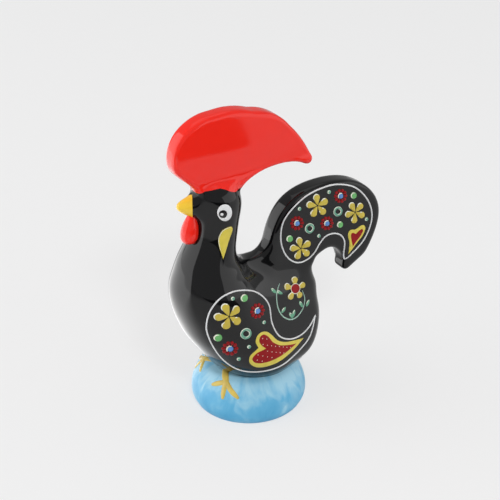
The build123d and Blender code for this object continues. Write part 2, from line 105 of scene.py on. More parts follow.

# Flowers, rings and dots in shares of their radius, and lights, pale lines painted as highlights on their lit
# side, in degrees
PETAL_START = 0.08
PETAL_SWELL = 0.85
YELLOW_PETALS = 5
YELLOW_PETAL = (0.06, 0.305, 0.68)
YELLOW_LIT = 0.9
YELLOW_CLEAR = 0.42
YELLOW_LIGHT = dict(half_width=0.27, base=0.16, height=0.16, taper=0.8)
RED_PETALS = 10
RED_PETAL = (0.42, 0.235, 0.76, 6)
RED_PETAL_LIFT = 0.3
BLUE_CENTRE_SHARE = 0.36
BLUE_CENTRE_SHIFT = (0.05, -0.05)
BLUE_CENTRE_LIFT = 0.4
BLUE_CENTRE_LIGHT = dict(
    share=0.4, count=14, start=70, sweep=150,
    half_width=0.25, base=0.3, height=0.16, taper=0.6,
)
RING_PATH_SHARE = 0.74
RING_HALF_SHARE = 0.27
RING_LIFT = 0.42
RING_LIGHTS = (
    dict(share=0.9, count=22, start=20, sweep=250, half_width=0.19, base=0.2, height=0.14, taper=0.7),
    dict(share=0.56, count=18, start=-110, sweep=200, half_width=0.17, base=0.24, height=0.12, taper=0.7),
)
GREEN_DOT_LIFT = 0.45
GREEN_DOT_LIGHT = dict(
    share=0.82, count=14, start=70, sweep=165,
    half_width=0.32, base=0.22, height=0.16, taper=0.7,
)
PEARL_LIFT = 0.4
PEARL_LIGHT = dict(
    share=0.66, count=12, start=60, sweep=200,
    half_width=0.24, base=0.26, height=0.14, taper=0.6,
)
HEART_LIFT = 0.3
HEART_FILL_LIFT = 0.1
SPECK_RADIUS = 0.2
SPECK_HEIGHT = 0.1
SPECK_LIFT = 0.08
BEAD_SEGMENTS = 10
BEAD_RINGS = 6
SPECK_ROWS = 8
SPECK_ROW_SHARE = 0.8
SPECK_SLANT = 28
SPECK_MARGIN = 0.88

# Places of the marks in X and rise, with a radius and a turn in degrees; numbered corners stay sharp
WING = {
    "yellow_flowers": ((-20.2, 36.5, 5.4, 110),),
    "red_flowers": ((-6.2, 33.1, 3.1), (-19.3, 20.8, 3.2)),
    "mint_rings": ((-13.4, 26.8, 2.3),),
    "green_dots": ((-12.5, 41.4, 1.5), (-23.8, 26.8, 1.55)),
    "pearls": ((-17.9, 43.3, 0.8), (-3.5, 27.1, 0.8), (-12.3, 20.5, 0.8), (-15.6, 14.8, 0.8)),
    "border": (
        (27.0, 15.0), (22.0, 8.6), (15.3, 6.4), (5.8, 5.7), (-4.2, 5.7), (-13.0, 7.0), (-18.7, 11.8),
        (-23.4, 19.2), (-26.6, 27.0), (-27.8, 33.5), (-26.6, 40.2), (-22.6, 44.6), (-16.5, 45.5), (-9.6, 42.9),
        (-2.8, 37.8), (0.8, 32.0), (0.9, 25.0), (3.6, 18.2), (9.6, 13.8), (16.6, 12.0), (22.4, 12.7),
        (27.0, 15.0),
    ),
    "heart": (
        (-8.2, 18.6), (-9.3, 21.5), (-8.4, 23.7), (-5.9, 24.3), (-2.7, 23.0), (-0.4, 20.7), (2.7, 16.8),
        (7.0, 14.0), (12.2, 12.0), (18.3, 9.8), (11.5, 8.4), (3.9, 8.1), (-4.4, 8.0), (-8.6, 8.8),
        (-11.2, 11.2), (-12.0, 13.9), (-11.4, 16.4),
    ),
    "heart_corners": (0, 9),
    "heart_core": (
        (-4.8, 17.1), (-6.6, 19.0), (-7.6, 21.2), (-6.9, 22.8), (-5.0, 22.9), (-2.7, 21.0), (-0.4, 17.6),
        (3.0, 14.7), (7.9, 12.3), (12.8, 10.3), (8.0, 10.1), (1.6, 10.3), (-5.4, 10.6), (-9.2, 11.7),
        (-10.7, 14.2), (-9.2, 16.4), (-6.6, 16.9),
    ),
    "core_corners": (0, 9),
    "heart_middle": (-2.0, 14.4),
    "speck_step": 2.6,
}
TAIL = {
    "yellow_flowers": ((30.1, 63.1, 4.8, 99), (49.3, 54.1, 4.6, 49), (22.4, 46.1, 4.7, 103)),
    "red_flowers": ((41.5, 64.0, 2.9), (20.3, 58.3, 2.9), (35.1, 53.5, 2.9)),
    "mint_rings": ((40.4, 57.3, 2.05), (26.5, 54.0, 2.1)),
    "green_dots": ((48.1, 62.2, 1.35), (41.7, 50.8, 1.35), (16.8, 52.4, 1.4)),
    "pearls": ((35.6, 67.6, 0.8), (21.3, 64.5, 0.8), (31.2, 49.0, 0.8), (55.3, 49.0, 0.8)),
    "border": (
        (45.4, 32.9), (44.4, 37.0), (44.4, 41.9), (42.4, 45.6), (38.6, 47.7), (34.6, 47.6), (31.8, 45.3),
        (29.4, 42.0), (26.0, 39.9), (21.4, 39.8), (17.0, 42.8), (13.8, 48.2), (12.5, 54.5), (13.6, 60.8),
        (17.7, 65.4), (24.4, 69.1), (32.3, 70.3), (40.0, 69.6), (48.5, 65.8), (54.9, 58.8), (57.9, 51.6),
        (57.4, 45.0), (53.6, 38.6), (45.4, 32.9),
    ),
    "heart": (
        (49.4, 45.9), (47.7, 46.5), (46.3, 45.7), (46.2, 43.6), (47.0, 40.4), (46.9, 37.4), (46.6, 35.0),
        (51.0, 39.1), (53.8, 41.7), (55.1, 44.6), (54.3, 46.5), (52.6, 46.8), (50.9, 46.2),
    ),
    "heart_corners": (0, 6),
    "heart_core": (
        (50.0, 43.9), (48.7, 44.8), (47.6, 44.8), (47.5, 43.2), (48.1, 40.2), (48.6, 38.2),
        (50.3, 40.0), (52.6, 42.2), (53.7, 44.2), (53.0, 45.2), (51.4, 44.8),
    ),
    "core_corners": (0, 5),
    "heart_middle": (50.0, 42.2),
    "speck_step": 0,
}

# Sprig: a flower on a thin curling stem with leaves, each at an X, a rise and a slope in degrees
SPRIG_FLOWER = (17.2, 30.9)
SPRIG_RADIUS = 4.8
SPRIG_PETALS = 5
SPRIG_PETAL = (0.16, 0.285, 0.73)
SPRIG_TURN = 90
# Pale lines painted as highlights on the lit side of the petals and leaves; the ring round the centre is the
# flower's own pale outline
SPRIG_LIT = 0.86
SPRIG_LIGHT = dict(half_width=0.2, base=0.22, height=0.12, taper=0.8)
SPRIG_CENTRE_RADIUS = 1.9
SPRIG_CENTRE_LIFTS = (dict(height=0.4), dict(height=0.2, base=0.38))
SPRIG_RING_OUT = 0.1
SPRIG_RING_LIGHT = dict(half_width=0.13, closed=True, height=0.14, base=0.36)
SPRIG_VINE = (
    (21.2, 28.4), (22.1, 24.4), (20.3, 21.2), (15.8, 19.8), (11.4, 20.9), (7.4, 24.5), (5.6, 28.8), (6.0, 32.8),
    (7.4, 34.6), (9.6, 36.0),
)
VINE_LINE = dict(half_width=0.26, height=0.18, taper=0.5)
SPRIG_LEAVES = (
    (19.4, 23.4, 115), (23.6, 21.8, 65), (14.4, 22.0, 80), (12.6, 22.0, 120), (8.6, 26.2, 50), (5.2, 35.4, 135),
    (8.2, 33.4, 150),
)
LEAF_LENGTH = 3.1
LEAF_STEPS = 20
LEAF_WIDTH_SHARE = 0.42
LEAF_LIFT = 0.25
LEAF_LIT = 0.7
LEAF_LIGHT = dict(half_width=0.24, base=0.12, height=0.12, taper=0.8)

# Eye and cheek feather, and the pale line painted as a highlight along the feather's lit edge
EYE = (-16.6, 77.1)
EYE_HALF = (2.76, 3.2)
EYE_LIFT = 0.45
PUPIL = (-17.5, 77.0)
PUPIL_RADIUS = 1.5
PUPIL_LIFT = dict(height=0.25, base=0.42)
GLINT = (-18.0, 77.1)
GLINT_RADIUS = 0.55
GLINT_LIFT = dict(height=0.15, base=0.62)
FEATHER = (
    (-18.5, 58.1), (-19.3, 63.0), (-19.2, 66.6), (-17.5, 69.8), (-14.4, 70.5), (-13.1, 68.7), (-15.2, 64.2),
    (-17.0, 60.6),
)
FEATHER_MIDDLE = (-16.8, 67.0)
FEATHER_LIFT = 0.42
FEATHER_LIT = 0.93
FEATHER_LIT_RUN = slice(4, 34)
FEATHER_LIGHT = dict(half_width=0.1, base=0.18, height=0.14, taper=0.8)

# Bell and wattle: profiles of radius and height, the bell's on the table and the wattle's above the seat
BELL_PROFILE = (
    (22.3, 0.0), (23.2, 1.9), (23.5, 4.0), (23.1, 7.2), (21.9, 10.6), (20.1, 13.4), (17.6, 15.8), (14.5, 17.0),
)
BELL_INSIDE = ((11.2, 13.8), (16.9, 13.2), (19.0, 8.8), (20.2, 4.2), (19.9, 1.8), (19.1, 0.0))
BELL_VENT_RADIUS = 3.0
WATTLE_PROFILE = (
    (0.0, 62.9), (1.5, 63.2), (2.8, 64.2), (3.45, 65.9), (3.5, 67.8), (3.2, 70.0), (2.6, 72.0), (1.5, 74.9),
)
WATTLE_X = -27.0
WATTLE_LEAN = 1.6
LEAN_POWER = 1.5
TURNING_STEPS = 120.0
TURNING_RADIUS = 10.0
POLE_JOIN = 0.01

# Legs: drawn about an ankle on a plane that leans back with the bell's shoulder; turns and lean in degrees
LEG_TURNS = (("left", 26.0), ("right", 36.0))
LEG_LEAN = 45.0
LEG_DROP = 20.0
ANKLE_RADIUS = 18.2
ANKLE_HEIGHT = 15.3
SHANK = ((-3.4, 5.4), (-2.2, 3.5), (-0.9, 1.6), (0.0, 0.0), (0.2, -1.4))
SHANK_LINE = dict(half_width=1.4, height=0.32, taper=0.1)
TOES = (
    ((0.4, 0.6), (-2.4, -0.8), (-5.3, -2.2)),
    ((0.0, 0.6), (0.3, -2.8), (0.7, -5.9)),
    ((-0.2, 0.8), (3.0, -2.0), (6.6, -3.9)),
)
TOE_LINE = dict(half_width=1.12, height=0.3, taper=0.4)
TOE_TIP_RADIUS = 0.68
TOE_TIP_LIFT = 0.26
SHOULDER_STEPS = 180

# Finishes: drift of the colour and the hand-made wave in the surface, and the enamels' common values
DRIFT_DETAIL = 3.0
WAVE_SCALE = 45.0
WAVE_DETAIL = 1.0
WAVE_DEPTH = 0.6
ENAMEL_ROUGHNESS = 0.35
ENAMEL_TONE_SCALE = 400

# Blue glaze: upright brush strokes and clouds, its shades, and how it thins towards the seat
STROKE_RISE = 30.0
STROKE_NOISE = {"Scale": 4.0, "Detail": 4.0, "Distortion": 0.8}
CLOUD_NOISE = {"Scale": 70.0, "Detail": 3.0}
CLOUD_SHARE = 0.5
BLUE_SHADES = ((0.36, (0.085, 0.41, 0.69, 1)), (0.5, (0.13, 0.475, 0.74, 1)), (0.66, (0.36, 0.66, 0.83, 1)))
THIN_FROM = 8.0
THIN_TO = 16.5
THIN_SHARE = 0.16

# Studio: the table and the air as the camera sees them, cards that only the glaze sees, as painted reflections,
# and lamps
TABLE_HALF = 3000.0
TABLE_WHITE = (0.935, 0.935, 0.937, 1)
TABLE_WHITE_SHARE = 0.65
CARD_HEIGHT = 0.5
# The mat's near and right edges lie across and along the way that the comb's face reflects the camera
MAT_NEAR = 204.0
MAT_FAR = 2500.0
MAT_RIGHT_NEAR = 3.0
MAT_RIGHT_FAR = -314.0
MAT_LEFT = -2500.0
# White card: it glows though it is no lamp, a painted bright reflection for the glaze; its corners, slope, fade
# and brightness
CARD_CORNERS = ((-34, -20), (-690, -110), (-690, 1400), (-10, 1400), (-10, -10))
CARD_SLOPE = 0.137
CARD_FADE = (-12.0, 50.0)
CARD_BRIGHTNESS = 1.7
LEFT_WINDOW = dict(place=(-700, 660, 500), aim=(0, 660, 500), width=1480, height=1000, radiance=1.6)
RIGHT_WALL = dict(place=(560, -520, 260), aim=(0, 0, 80), width=1100, height=520, radiance=0.9)
TOP_SOFTBOX = dict(place=(150, 250, 1200), aim=(0, 0, 0), width=1100, height=1100, radiance=0.5)
FRONT_LAMP = dict(place=(-180, -620, 760), aim=(0, 0, 60), width=170, height=120, radiance=36.0)
AIR_LIGHT = 0.4
AIR_SEEN = 0.87


def new_object(name, verts, faces, material, normals=None):
    """A mesh object from vertices in millimetres, smooth shaded, with its normals set where they are given."""
    mesh = bpy.data.meshes.new(name)
    mesh.from_pydata((np.asarray(verts, float) * MM).tolist(), [], [list(map(int, f)) for f in faces])
    mesh.polygons.foreach_set("use_smooth", [True] * len(mesh.polygons))
    if normals is not None:
        mesh.normals_split_custom_set_from_vertices(np.asarray(normals, float).tolist())
    mesh.materials.append(material)
    mesh.update()
    piece = bpy.data.objects.new(name, mesh)
    bpy.context.scene.collection.objects.link(piece)
    return piece


def dress(piece, slot, *nodes):
    """The piece belongs to the one rigid body and stands for the named solids; its finish slot is not used."""
    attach(piece, "root")
    if nodes:
        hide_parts(*nodes)


def add_node(tree, kind, values=None, **settings):
    """A node of a kind, with its settings made and values put on its named or numbered inputs."""
    node = tree.nodes.new(kind)
    for setting, value in settings.items():
        setattr(node, setting, value)
    for socket, value in (values or {}).items():
        node.inputs[socket].default_value = value
    return node


def join(tree, *wires):
    """Links in a tree, each from a node and its output to a node and its input."""
    for source, output, target, socket in wires:
        tree.links.new(source.outputs[output], target.inputs[socket])


# Materials


def glaze_material(name, colour, roughness, tone=0.12, tone_scale=90.0, bump=0.12, ior=1.5):
    """A fired glaze: one colour that drifts a little in tone, and a faint hand-made wave."""
    material = bpy.data.materials.new(name)
    material.use_nodes = True
    tree = material.node_tree
    shader = tree.nodes["Principled BSDF"]
    shader.inputs["Roughness"].default_value = roughness
    shader.inputs["IOR"].default_value = ior
    darker = (*[c * (1 - tone) for c in colour], 1)
    lighter = (*[min(1, c * (1 + tone)) for c in colour], 1)
    place = add_node(tree, "ShaderNodeTexCoord")
    drift = add_node(tree, "ShaderNodeTexNoise", {"Scale": tone_scale, "Detail": DRIFT_DETAIL})
    shades = add_node(tree, "ShaderNodeMix", {"A": darker, "B": lighter}, data_type="RGBA")
    wave = add_node(tree, "ShaderNodeTexNoise", {"Scale": WAVE_SCALE, "Detail": WAVE_DETAIL})
    lift = add_node(tree, "ShaderNodeBump", {"Strength": bump, "Distance": WAVE_DEPTH * MM})
    join(
        tree,
        (place, "Object", drift, "Vector"),
        (place, "Object", wave, "Vector"),
        (drift, "Fac", shades, "Factor"),
        (shades, "Result", shader, "Base Color"),
        (wave, "Fac", lift, "Height"),
        (lift, "Normal", shader, "Normal"),
    )
    return material


def enamel_material(name, colour, tone, ior=1.5):
    """A raised enamel, duller than the glaze, whose tone drifts more finely."""
    return glaze_material(name, colour, ENAMEL_ROUGHNESS, tone, ENAMEL_TONE_SCALE, ior=ior)


def brushed_blue_material():
    """Watery blue glaze laid on with a wide brush: upright strokes round the bell over soft cloudy patches."""
    material = glaze_material("blue_glaze", (0.17, 0.50, 0.75), 0.38, tone=0.05)
    tree = material.node_tree
    place = add_node(tree, "ShaderNodeTexCoord")
    parts = add_node(tree, "ShaderNodeSeparateXYZ")
    turn = add_node(tree, "ShaderNodeMath", operation="ARCTAN2")
    rise = add_node(tree, "ShaderNodeMath", {1: STROKE_RISE}, operation="MULTIPLY")
    stroke_place = add_node(tree, "ShaderNodeCombineXYZ")
    strokes = add_node(tree, "ShaderNodeTexNoise", STROKE_NOISE)
    clouds = add_node(tree, "ShaderNodeTexNoise", CLOUD_NOISE)
    both = add_node(tree, "ShaderNodeMix", {"Factor": CLOUD_SHARE})
    thinning = {"From Min": THIN_FROM * MM, "From Max": THIN_TO * MM, "To Max": THIN_SHARE}
    thin = add_node(tree, "ShaderNodeMapRange", thinning, interpolation_type="SMOOTHSTEP")
    washed = add_node(tree, "ShaderNodeMath")
    shades = add_node(tree, "ShaderNodeValToRGB")
    stops = shades.color_ramp.elements
    stops.new(BLUE_SHADES[1][0])
    for stop, (position, colour) in zip(stops, BLUE_SHADES):
        stop.position, stop.color = position, colour
    join(
        tree,
        (place, "Object", parts, "Vector"),
        (place, "Object", clouds, "Vector"),
        (parts, "Y", turn, 0),
        (parts, "X", turn, 1),
        (parts, "Z", rise, 0),
        (turn, "Value", stroke_place, "X"),
        (rise, "Value", stroke_place, "Y"),
        (stroke_place, "Vector", strokes, "Vector"),
        (strokes, "Fac", both, "A"),
        (clouds, "Fac", both, "B"),
        (parts, "Z", thin, "Value"),
        (both, "Result", washed, 0),
        (thin, "Result", washed, 1),
        (washed, "Value", shades, "Fac"),
        (shades, "Color", tree.nodes["Principled BSDF"], "Base Color"),
    )
    return material


BLACK_GLAZE = glaze_material("black_glaze", (0.003, 0.0031, 0.0036), 0.06, ior=1.45)
RED_GLAZE = glaze_material("red_glaze", (0.92, 0.020, 0.010), 0.09, tone=0.04, ior=1.45)
YELLOW_GLAZE = glaze_material("yellow_glaze", (0.97, 0.62, 0.045), 0.18, tone=0.08)
LEG_GLAZE = glaze_material("leg_glaze", (0.70, 0.52, 0.11), 0.25, tone=0.3, tone_scale=260)
BLUE_GLAZE = brushed_blue_material()
GOLD_ENAMEL = enamel_material("gold_enamel", (0.60, 0.47, 0.055), tone=0.2)
HEART_ENAMEL = enamel_material("heart_enamel", (0.70, 0.58, 0.07), tone=0.12)
# Cream: the specks on the hearts and the ring round the sprig's centre, and the pale lines painted as
# highlights
CREAM_ENAMEL_AND_PAINTED_HIGHLIGHTS = enamel_material("cream_enamel_and_painted_highlights", (0.86, 0.86, 0.74), tone=0.08)
DARK_RED_ENAMEL = enamel_material("dark_red_enamel", (0.29, 0.007, 0.010), tone=0.2, ior=1.25)
BLUE_ENAMEL = enamel_material("blue_enamel", (0.09, 0.26, 0.62), tone=0.15)
GREEN_ENAMEL = enamel_material("green_enamel", (0.14, 0.46, 0.14), tone=0.15)
MINT_ENAMEL = enamel_material("mint_enamel", (0.13, 0.36, 0.25), tone=0.25)
PALE_MINT_ENAMEL = enamel_material("pale_mint_enamel", (0.38, 0.58, 0.48), tone=0.25)
LEAF_ENAMEL = enamel_material("leaf_enamel", (0.12, 0.36, 0.22), tone=0.25)
WHITE_ENAMEL = glaze_material("white_enamel", (0.78, 0.79, 0.80), 0.3, tone=0.04, tone_scale=300)
BLACK_ENAMEL = glaze_material("black_enamel", (0.004, 0.004, 0.005), 0.15)

# Layout trees: turned clay, drawn lines and specks grow from profiles, paths and points


def layout_tree(name, sizes):
    """A node tree with its start, its sizes and a finish as named inputs, and its first node."""
    tree = bpy.data.node_groups.new(name, "GeometryNodeTree")
    tree.interface.new_socket("Start", in_out="INPUT", socket_type="NodeSocketGeometry")
    for size in sizes:
        tree.interface.new_socket(size, in_out="INPUT", socket_type="NodeSocketFloat")
    tree.interface.new_socket("Finish", in_out="INPUT", socket_type="NodeSocketMaterial")
    tree.interface.new_socket("Piece", in_out="OUTPUT", socket_type="NodeSocketGeometry")
    return tree, add_node(tree, "NodeGroupInput")


def close_tree(tree, start, last, output):
    """The end of a tree after its last node: instances made real, smooth shading, and the finish."""
    realized = add_node(tree, "GeometryNodeRealizeInstances")
    smooth = add_node(tree, "GeometryNodeSetShadeSmooth")
    finished = add_node(tree, "GeometryNodeSetMaterial")
    join(
        tree,
        (last, output, realized, "Geometry"),
        (realized, "Geometry", smooth, "Geometry"),
        (smooth, "Geometry", finished, "Geometry"),
        (start, "Finish", finished, "Material"),
        (finished, "Geometry", add_node(tree, "NodeGroupOutput"), "Piece"),
    )
    return tree


def turned_clay_tree():
    """A profile of radius and height, drawn in X and Y, turned round the upright axis, then leaned along X."""
    tree, start = layout_tree("turned_clay", ("Steps", "Ring radius", "Place", "Lean", "Foot", "Top"))
    profile = add_node(tree, "GeometryNodeMeshToCurve")
    inward = add_node(tree, "ShaderNodeMath", {1: -1.0}, operation="MULTIPLY")
    shift = add_node(tree, "ShaderNodeCombineXYZ")
    upright = add_node(tree, "GeometryNodeTransform", {"Rotation": (pi, 0, 0)})
    ring = add_node(tree, "GeometryNodeCurvePrimitiveCircle")
    sweep = add_node(tree, "GeometryNodeCurveToMesh")
    outside = add_node(tree, "GeometryNodeFlipFaces")
    closed = add_node(tree, "GeometryNodeMergeByDistance", {"Distance": POLE_JOIN * MM})
    where = add_node(tree, "GeometryNodeInputPosition")
    parts = add_node(tree, "ShaderNodeSeparateXYZ")
    share = add_node(tree, "ShaderNodeMapRange")
    bend = add_node(tree, "ShaderNodeMath", {1: LEAN_POWER}, operation="POWER")
    along = add_node(tree, "ShaderNodeMath", operation="MULTIPLY_ADD")
    offset = add_node(tree, "ShaderNodeCombineXYZ")
    leaned = add_node(tree, "GeometryNodeSetPosition")
    join(
        tree,
        (start, "Start", profile, "Mesh"),
        (start, "Ring radius", inward, 0),
        (inward, "Value", shift, "X"),
        (profile, "Curve", upright, "Geometry"),
        (shift, "Vector", upright, "Translation"),
        (start, "Steps", ring, "Resolution"),
        (start, "Ring radius", ring, "Radius"),
        (ring, "Curve", sweep, "Curve"),
        (upright, "Geometry", sweep, "Profile Curve"),
        (where, "Position", parts, "Vector"),
        (parts, "Z", share, "Value"),
        (start, "Foot", share, "From Min"),
        (start, "Top", share, "From Max"),
        (share, "Result", bend, 0),
        (bend, "Value", along, 0),
        (start, "Lean", along, 1),
        (start, "Place", along, 2),
        (along, "Value", offset, "X"),
        (sweep, "Mesh", outside, "Mesh"),
        (outside, "Mesh", closed, "Geometry"),
        (closed, "Geometry", leaned, "Geometry"),
        (offset, "Vector", leaned, "Offset"),
    )
    return close_tree(tree, start, leaned, "Geometry")


def enamel_line_tree():
    """A round line of enamel along a path on the skin, half sunk in it."""
    tree, start = layout_tree("enamel_line", ("Half width",))
    path = add_node(tree, "GeometryNodeMeshToCurve")
    line = add_node(tree, "GeometryNodeCurvePrimitiveCircle", {"Resolution": LINE_SIDES})
    sweep = add_node(tree, "GeometryNodeCurveToMesh", {"Fill Caps": True})
    join(
        tree,
        (start, "Start", path, "Mesh"),
        (start, "Half width", line, "Radius"),
        (path, "Curve", sweep, "Curve"),
        (line, "Curve", sweep, "Profile Curve"),
    )
    return close_tree(tree, start, sweep, "Mesh")


def enamel_speck_tree():
    """A small flat bead of enamel on each point, turned to face out of the skin."""
    tree, start = layout_tree("enamel_specks", ("Radius", "Height"))
    bead = add_node(tree, "GeometryNodeMeshUVSphere", {"Segments": BEAD_SEGMENTS, "Rings": BEAD_RINGS})
    outward = add_node(tree, "GeometryNodeInputNamedAttribute", {"Name": "outward"}, data_type="FLOAT_VECTOR")
    facing = add_node(tree, "FunctionNodeAlignRotationToVector", axis="Z")
    size = add_node(tree, "ShaderNodeCombineXYZ")
    specks = add_node(tree, "GeometryNodeInstanceOnPoints")
    join(
        tree,
        (start, "Start", specks, "Points"),
        (bead, "Mesh", specks, "Instance"),
        (outward, "Attribute", facing, "Vector"),
        (facing, "Rotation", specks, "Rotation"),
        (start, "Radius", size, "X"),
        (start, "Radius", size, "Y"),
        (start, "Height", size, "Z"),
        (size, "Vector", specks, "Scale"),
    )
    return close_tree(tree, start, specks, "Instances")


TURNED_CLAY = turned_clay_tree()
ENAMEL_LINE = enamel_line_tree()
ENAMEL_SPECKS = enamel_speck_tree()


def grown(name, tree, points, edges, sizes, material, outward=None):
    """A plain mesh object that a tree grows from points in millimetres, with its sizes in metres."""
    seed = bpy.data.meshes.new(f"{name}_seed")
    seed.from_pydata((np.asarray(points, float) * MM).tolist(), edges, [])
    if outward is not None:
        seed.attributes.new("outward", "FLOAT_VECTOR", "POINT").data.foreach_set("vector", np.ravel(outward))
    piece = bpy.data.objects.new(name, seed)
    bpy.context.scene.collection.objects.link(piece)
    layout = piece.modifiers.new("layout", "NODES")
    layout.node_group = tree
    given = {**sizes, "Finish": material}
    for socket in tree.interface.items_tree:
        if socket.in_out == "INPUT" and socket.name in given:
            layout[socket.identifier] = given[socket.name]
    mesh = bpy.data.meshes.new_from_object(piece.evaluated_get(bpy.context.evaluated_depsgraph_get()))
    piece.modifiers.clear()
    piece.data = mesh
    mesh.name = name
    mesh.polygons.foreach_set("material_index", [0] * len(mesh.polygons))
    mesh.materials.clear()
    mesh.materials.append(material)
    bpy.data.meshes.remove(seed)
    return piece


def chain(count, closed=False):
    """The edges of a run of points."""
    return [(k, k + 1) for k in range(count - 1)] + ([(count - 1, 0)] if closed else [])


# Glaze skin: the solids as distance fields, melted into each other where the clay was luted


def solid_triangles(node):
    """Vertices in millimetres and triangles of a solid, its doubled vertices merged."""
    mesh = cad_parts[node].data
    mesh.calc_loop_triangles()
    points = np.empty(len(mesh.vertices) * 3, np.float32)
    mesh.vertices.foreach_get("co", points)
    corners = np.empty(len(mesh.loop_triangles) * 3, np.int32)
    mesh.loop_triangles.foreach_get("vertices", corners)
    points = points.reshape(-1, 3) / MM
    _, first, index = np.unique(np.round(points, 3), axis=0, return_index=True, return_inverse=True)
    return points[first], index.reshape(-1)[corners].reshape(-1, 3)


def outer_shell(points, triangles):
    """The outside of the hollow body, joined to its highest face, with its seat sunk a little and closed."""
    seat = (points[triangles][:, :, 2] < SEAT_HEIGHT + SEAT_MARGIN).all(1)
    walls = triangles[~seat]
    label = np.arange(len(points))
    while True:
        lowest = label[walls].min(1)
        spread = label.copy()
        for corner in range(3):
            np.minimum.at(spread, walls[:, corner], lowest)
        if (spread == label).all():
            break
        label = spread
    shell = walls[label[walls[:, 0]] == label[points[:, 2].argmax()]]
    edges = np.concatenate([shell[:, [0, 1]], shell[:, [1, 2]], shell[:, [2, 0]]])
    _, index, count = np.unique(np.sort(edges, 1), axis=0, return_inverse=True, return_counts=True)
    rim = edges[count[index.reshape(-1)] == 1]
    used = np.unique(rim)
    sunk = points[used] - (0, 0, SEAT_SINK)
    a, b = rim.T
    a_sunk, b_sunk = len(points) + np.searchsorted(used, rim).T
    middle = np.full(len(rim), len(points) + len(used))
    wall = ((b, a, a_sunk), (b, a_sunk, b_sunk), (b_sunk, a_sunk, middle))
    wall = [np.column_stack(corners) for corners in wall]
    return np.vstack([points, sunk, sunk.mean(0)]), np.vstack([shell, *wall])


solids = {node: solid_triangles(node) for node in ("body", "tail", "comb", "beak")}
solids["body"] = outer_shell(*solids["body"])
low = np.min([points.min(0) for points, _ in solids.values()], axis=0)
high = np.max([points.max(0) for points, _ in solids.values()], axis=0)
grid_start = np.floor(low / VOXEL).astype(int) - SKIN_REACH
grid_shape = tuple(np.ceil(high / VOXEL).astype(int) + SKIN_REACH - grid_start + 1)
grid_scale = openvdb.createLinearTransform(voxelSize=VOXEL)


def distance_field(points, triangles):
    """Signed distances in millimetres from a closed surface on the shared grid, cut off at the skin's reach."""
    grid = openvdb.FloatGrid.createLevelSetFromPolygons(
        points.astype(np.float32),
        triangles=triangles.astype(np.uint32),
        transform=grid_scale,
        halfWidth=SKIN_REACH,
    )
    field = np.full(grid_shape, grid.background, np.float32)
    grid.copyToArray(field, ijk=tuple(int(v) for v in grid_start))
    return field


def melt(a, b, width):
    """The union of two distance fields with a fillet about as wide as given."""
    return np.minimum(a, b) - width / 4 * np.maximum(1 - np.abs(a - b) / width, 0) ** 2


def blurred(field, sigma):
    """A distance field smoothed over a width in millimetres."""
    reach = int(np.ceil(BLUR_REACH * sigma / VOXEL))
    weights = np.exp(-0.5 * (np.arange(-reach, reach + 1) * VOXEL / sigma) ** 2)
    weights /= weights.sum()
    for axis in range(3):
        padded = np.pad(field, [(reach, reach) if a == axis else (0, 0) for a in range(3)], mode="edge")
        size = field.shape[axis]
        field = sum(w * np.take(padded, range(k, k + size), axis) for k, w in enumerate(weights))
    return field


def surface(field, level):
    """The quads of a field's surface at a level, in millimetres."""
    grid = openvdb.FloatGrid(SKIN_REACH * VOXEL)
    grid.transform = grid_scale
    grid.copyFromArray(field.astype(np.float32), ijk=tuple(int(v) for v in grid_start))
    points, quads = grid.convertToQuads(isovalue=level)
    return np.asarray(points, float), np.asarray(quads, int)


def split_quads(quads):
    """Two triangles for each quad."""
    return np.vstack([quads[:, [0, 1, 2]], quads[:, [0, 2, 3]]])


def corners_filled(field, radius):
    """The form with its hollow corners rounded: swelled by a radius, then shrunk by it."""
    points, quads = surface(field, radius)
    return distance_field(points, split_quads(quads)) + radius


def cushioned(field):
    """The comb as a cushion: thin at its rim, swelling to its middle, its root left as it is."""
    x, y, z = np.ogrid[tuple(slice(start, start + size) for start, size in zip(grid_start, grid_shape))]
    x, y, rise = x * VOXEL, y * VOXEL, z * VOXEL - SEAT_HEIGHT
    outline = field[:, -grid_start[1], :][:, None, :]
    inward = np.clip(-outline / COMB_RIM_WIDTH, 0, 1)
    spread = ((x - COMB_MIDDLE[0]) / COMB_SPAN[0]) ** 2 + ((rise - COMB_MIDDLE[1]) / COMB_SPAN[1]) ** 2
    half = COMB_RIM_HALF + (COMB_HALF - COMB_RIM_HALF) * np.sqrt(1 - (1 - inward) ** 2)
    half = half + COMB_DOME * np.clip(1 - spread, 0, 1) ** COMB_DOME_POWER
    cushion = np.maximum(outline, np.abs(y) - half)
    return np.minimum(cushion, np.maximum(field, rise - COMB_ROOT_RISE)).astype(np.float32)


fields = {node: distance_field(*shape) for node, shape in solids.items()}
skin_field = corners_filled(melt(fields["body"], fields["tail"], TAIL_BLEND), CORNER_FILL)
skin_field = melt(skin_field, cushioned(fields["comb"]), COMB_BLEND)
skin_field = blurred(melt(skin_field, fields["beak"], BEAK_BLEND), SKIN_BLUR)
skin_points, skin_quads = surface(skin_field, 0.0)
skin_triangles = split_quads(skin_quads)


def sampled(field, points):
    """A field's values at points in millimetres, between its grid points."""
    at = points / VOXEL - grid_start
    base = np.clip(np.floor(at).astype(int), 0, np.array(field.shape) - 2)
    part = at - base
    total = np.zeros(len(points))
    for corner in np.ndindex(2, 2, 2):
        share = np.prod(np.where(corner, part, 1 - part), axis=1)
        total += share * field[tuple((base + corner).T)]
    return total


def neighbour_mean(values, edges, counts):
    """The mean of each vertex's neighbours."""
    total = np.zeros_like(values)
    for axis in range(values.shape[1]):
        total[:, axis] = np.bincount(edges[:, 0], values[edges[:, 1], axis], len(values))
    return total / counts[:, None]


def vertex_normals(points, triangles):
    """Outward normals at vertices, by the areas of the triangles round them."""
    a, b, c = (points[triangles[:, k]] for k in range(3))
    faces = np.cross(b - a, c - a)
    normals = np.zeros_like(points)
    for corner in range(3):
        for axis in range(3):
            normals[:, axis] += np.bincount(triangles[:, corner], faces[:, axis], len(points))
    return normals / np.linalg.norm(normals, axis=1, keepdims=True)


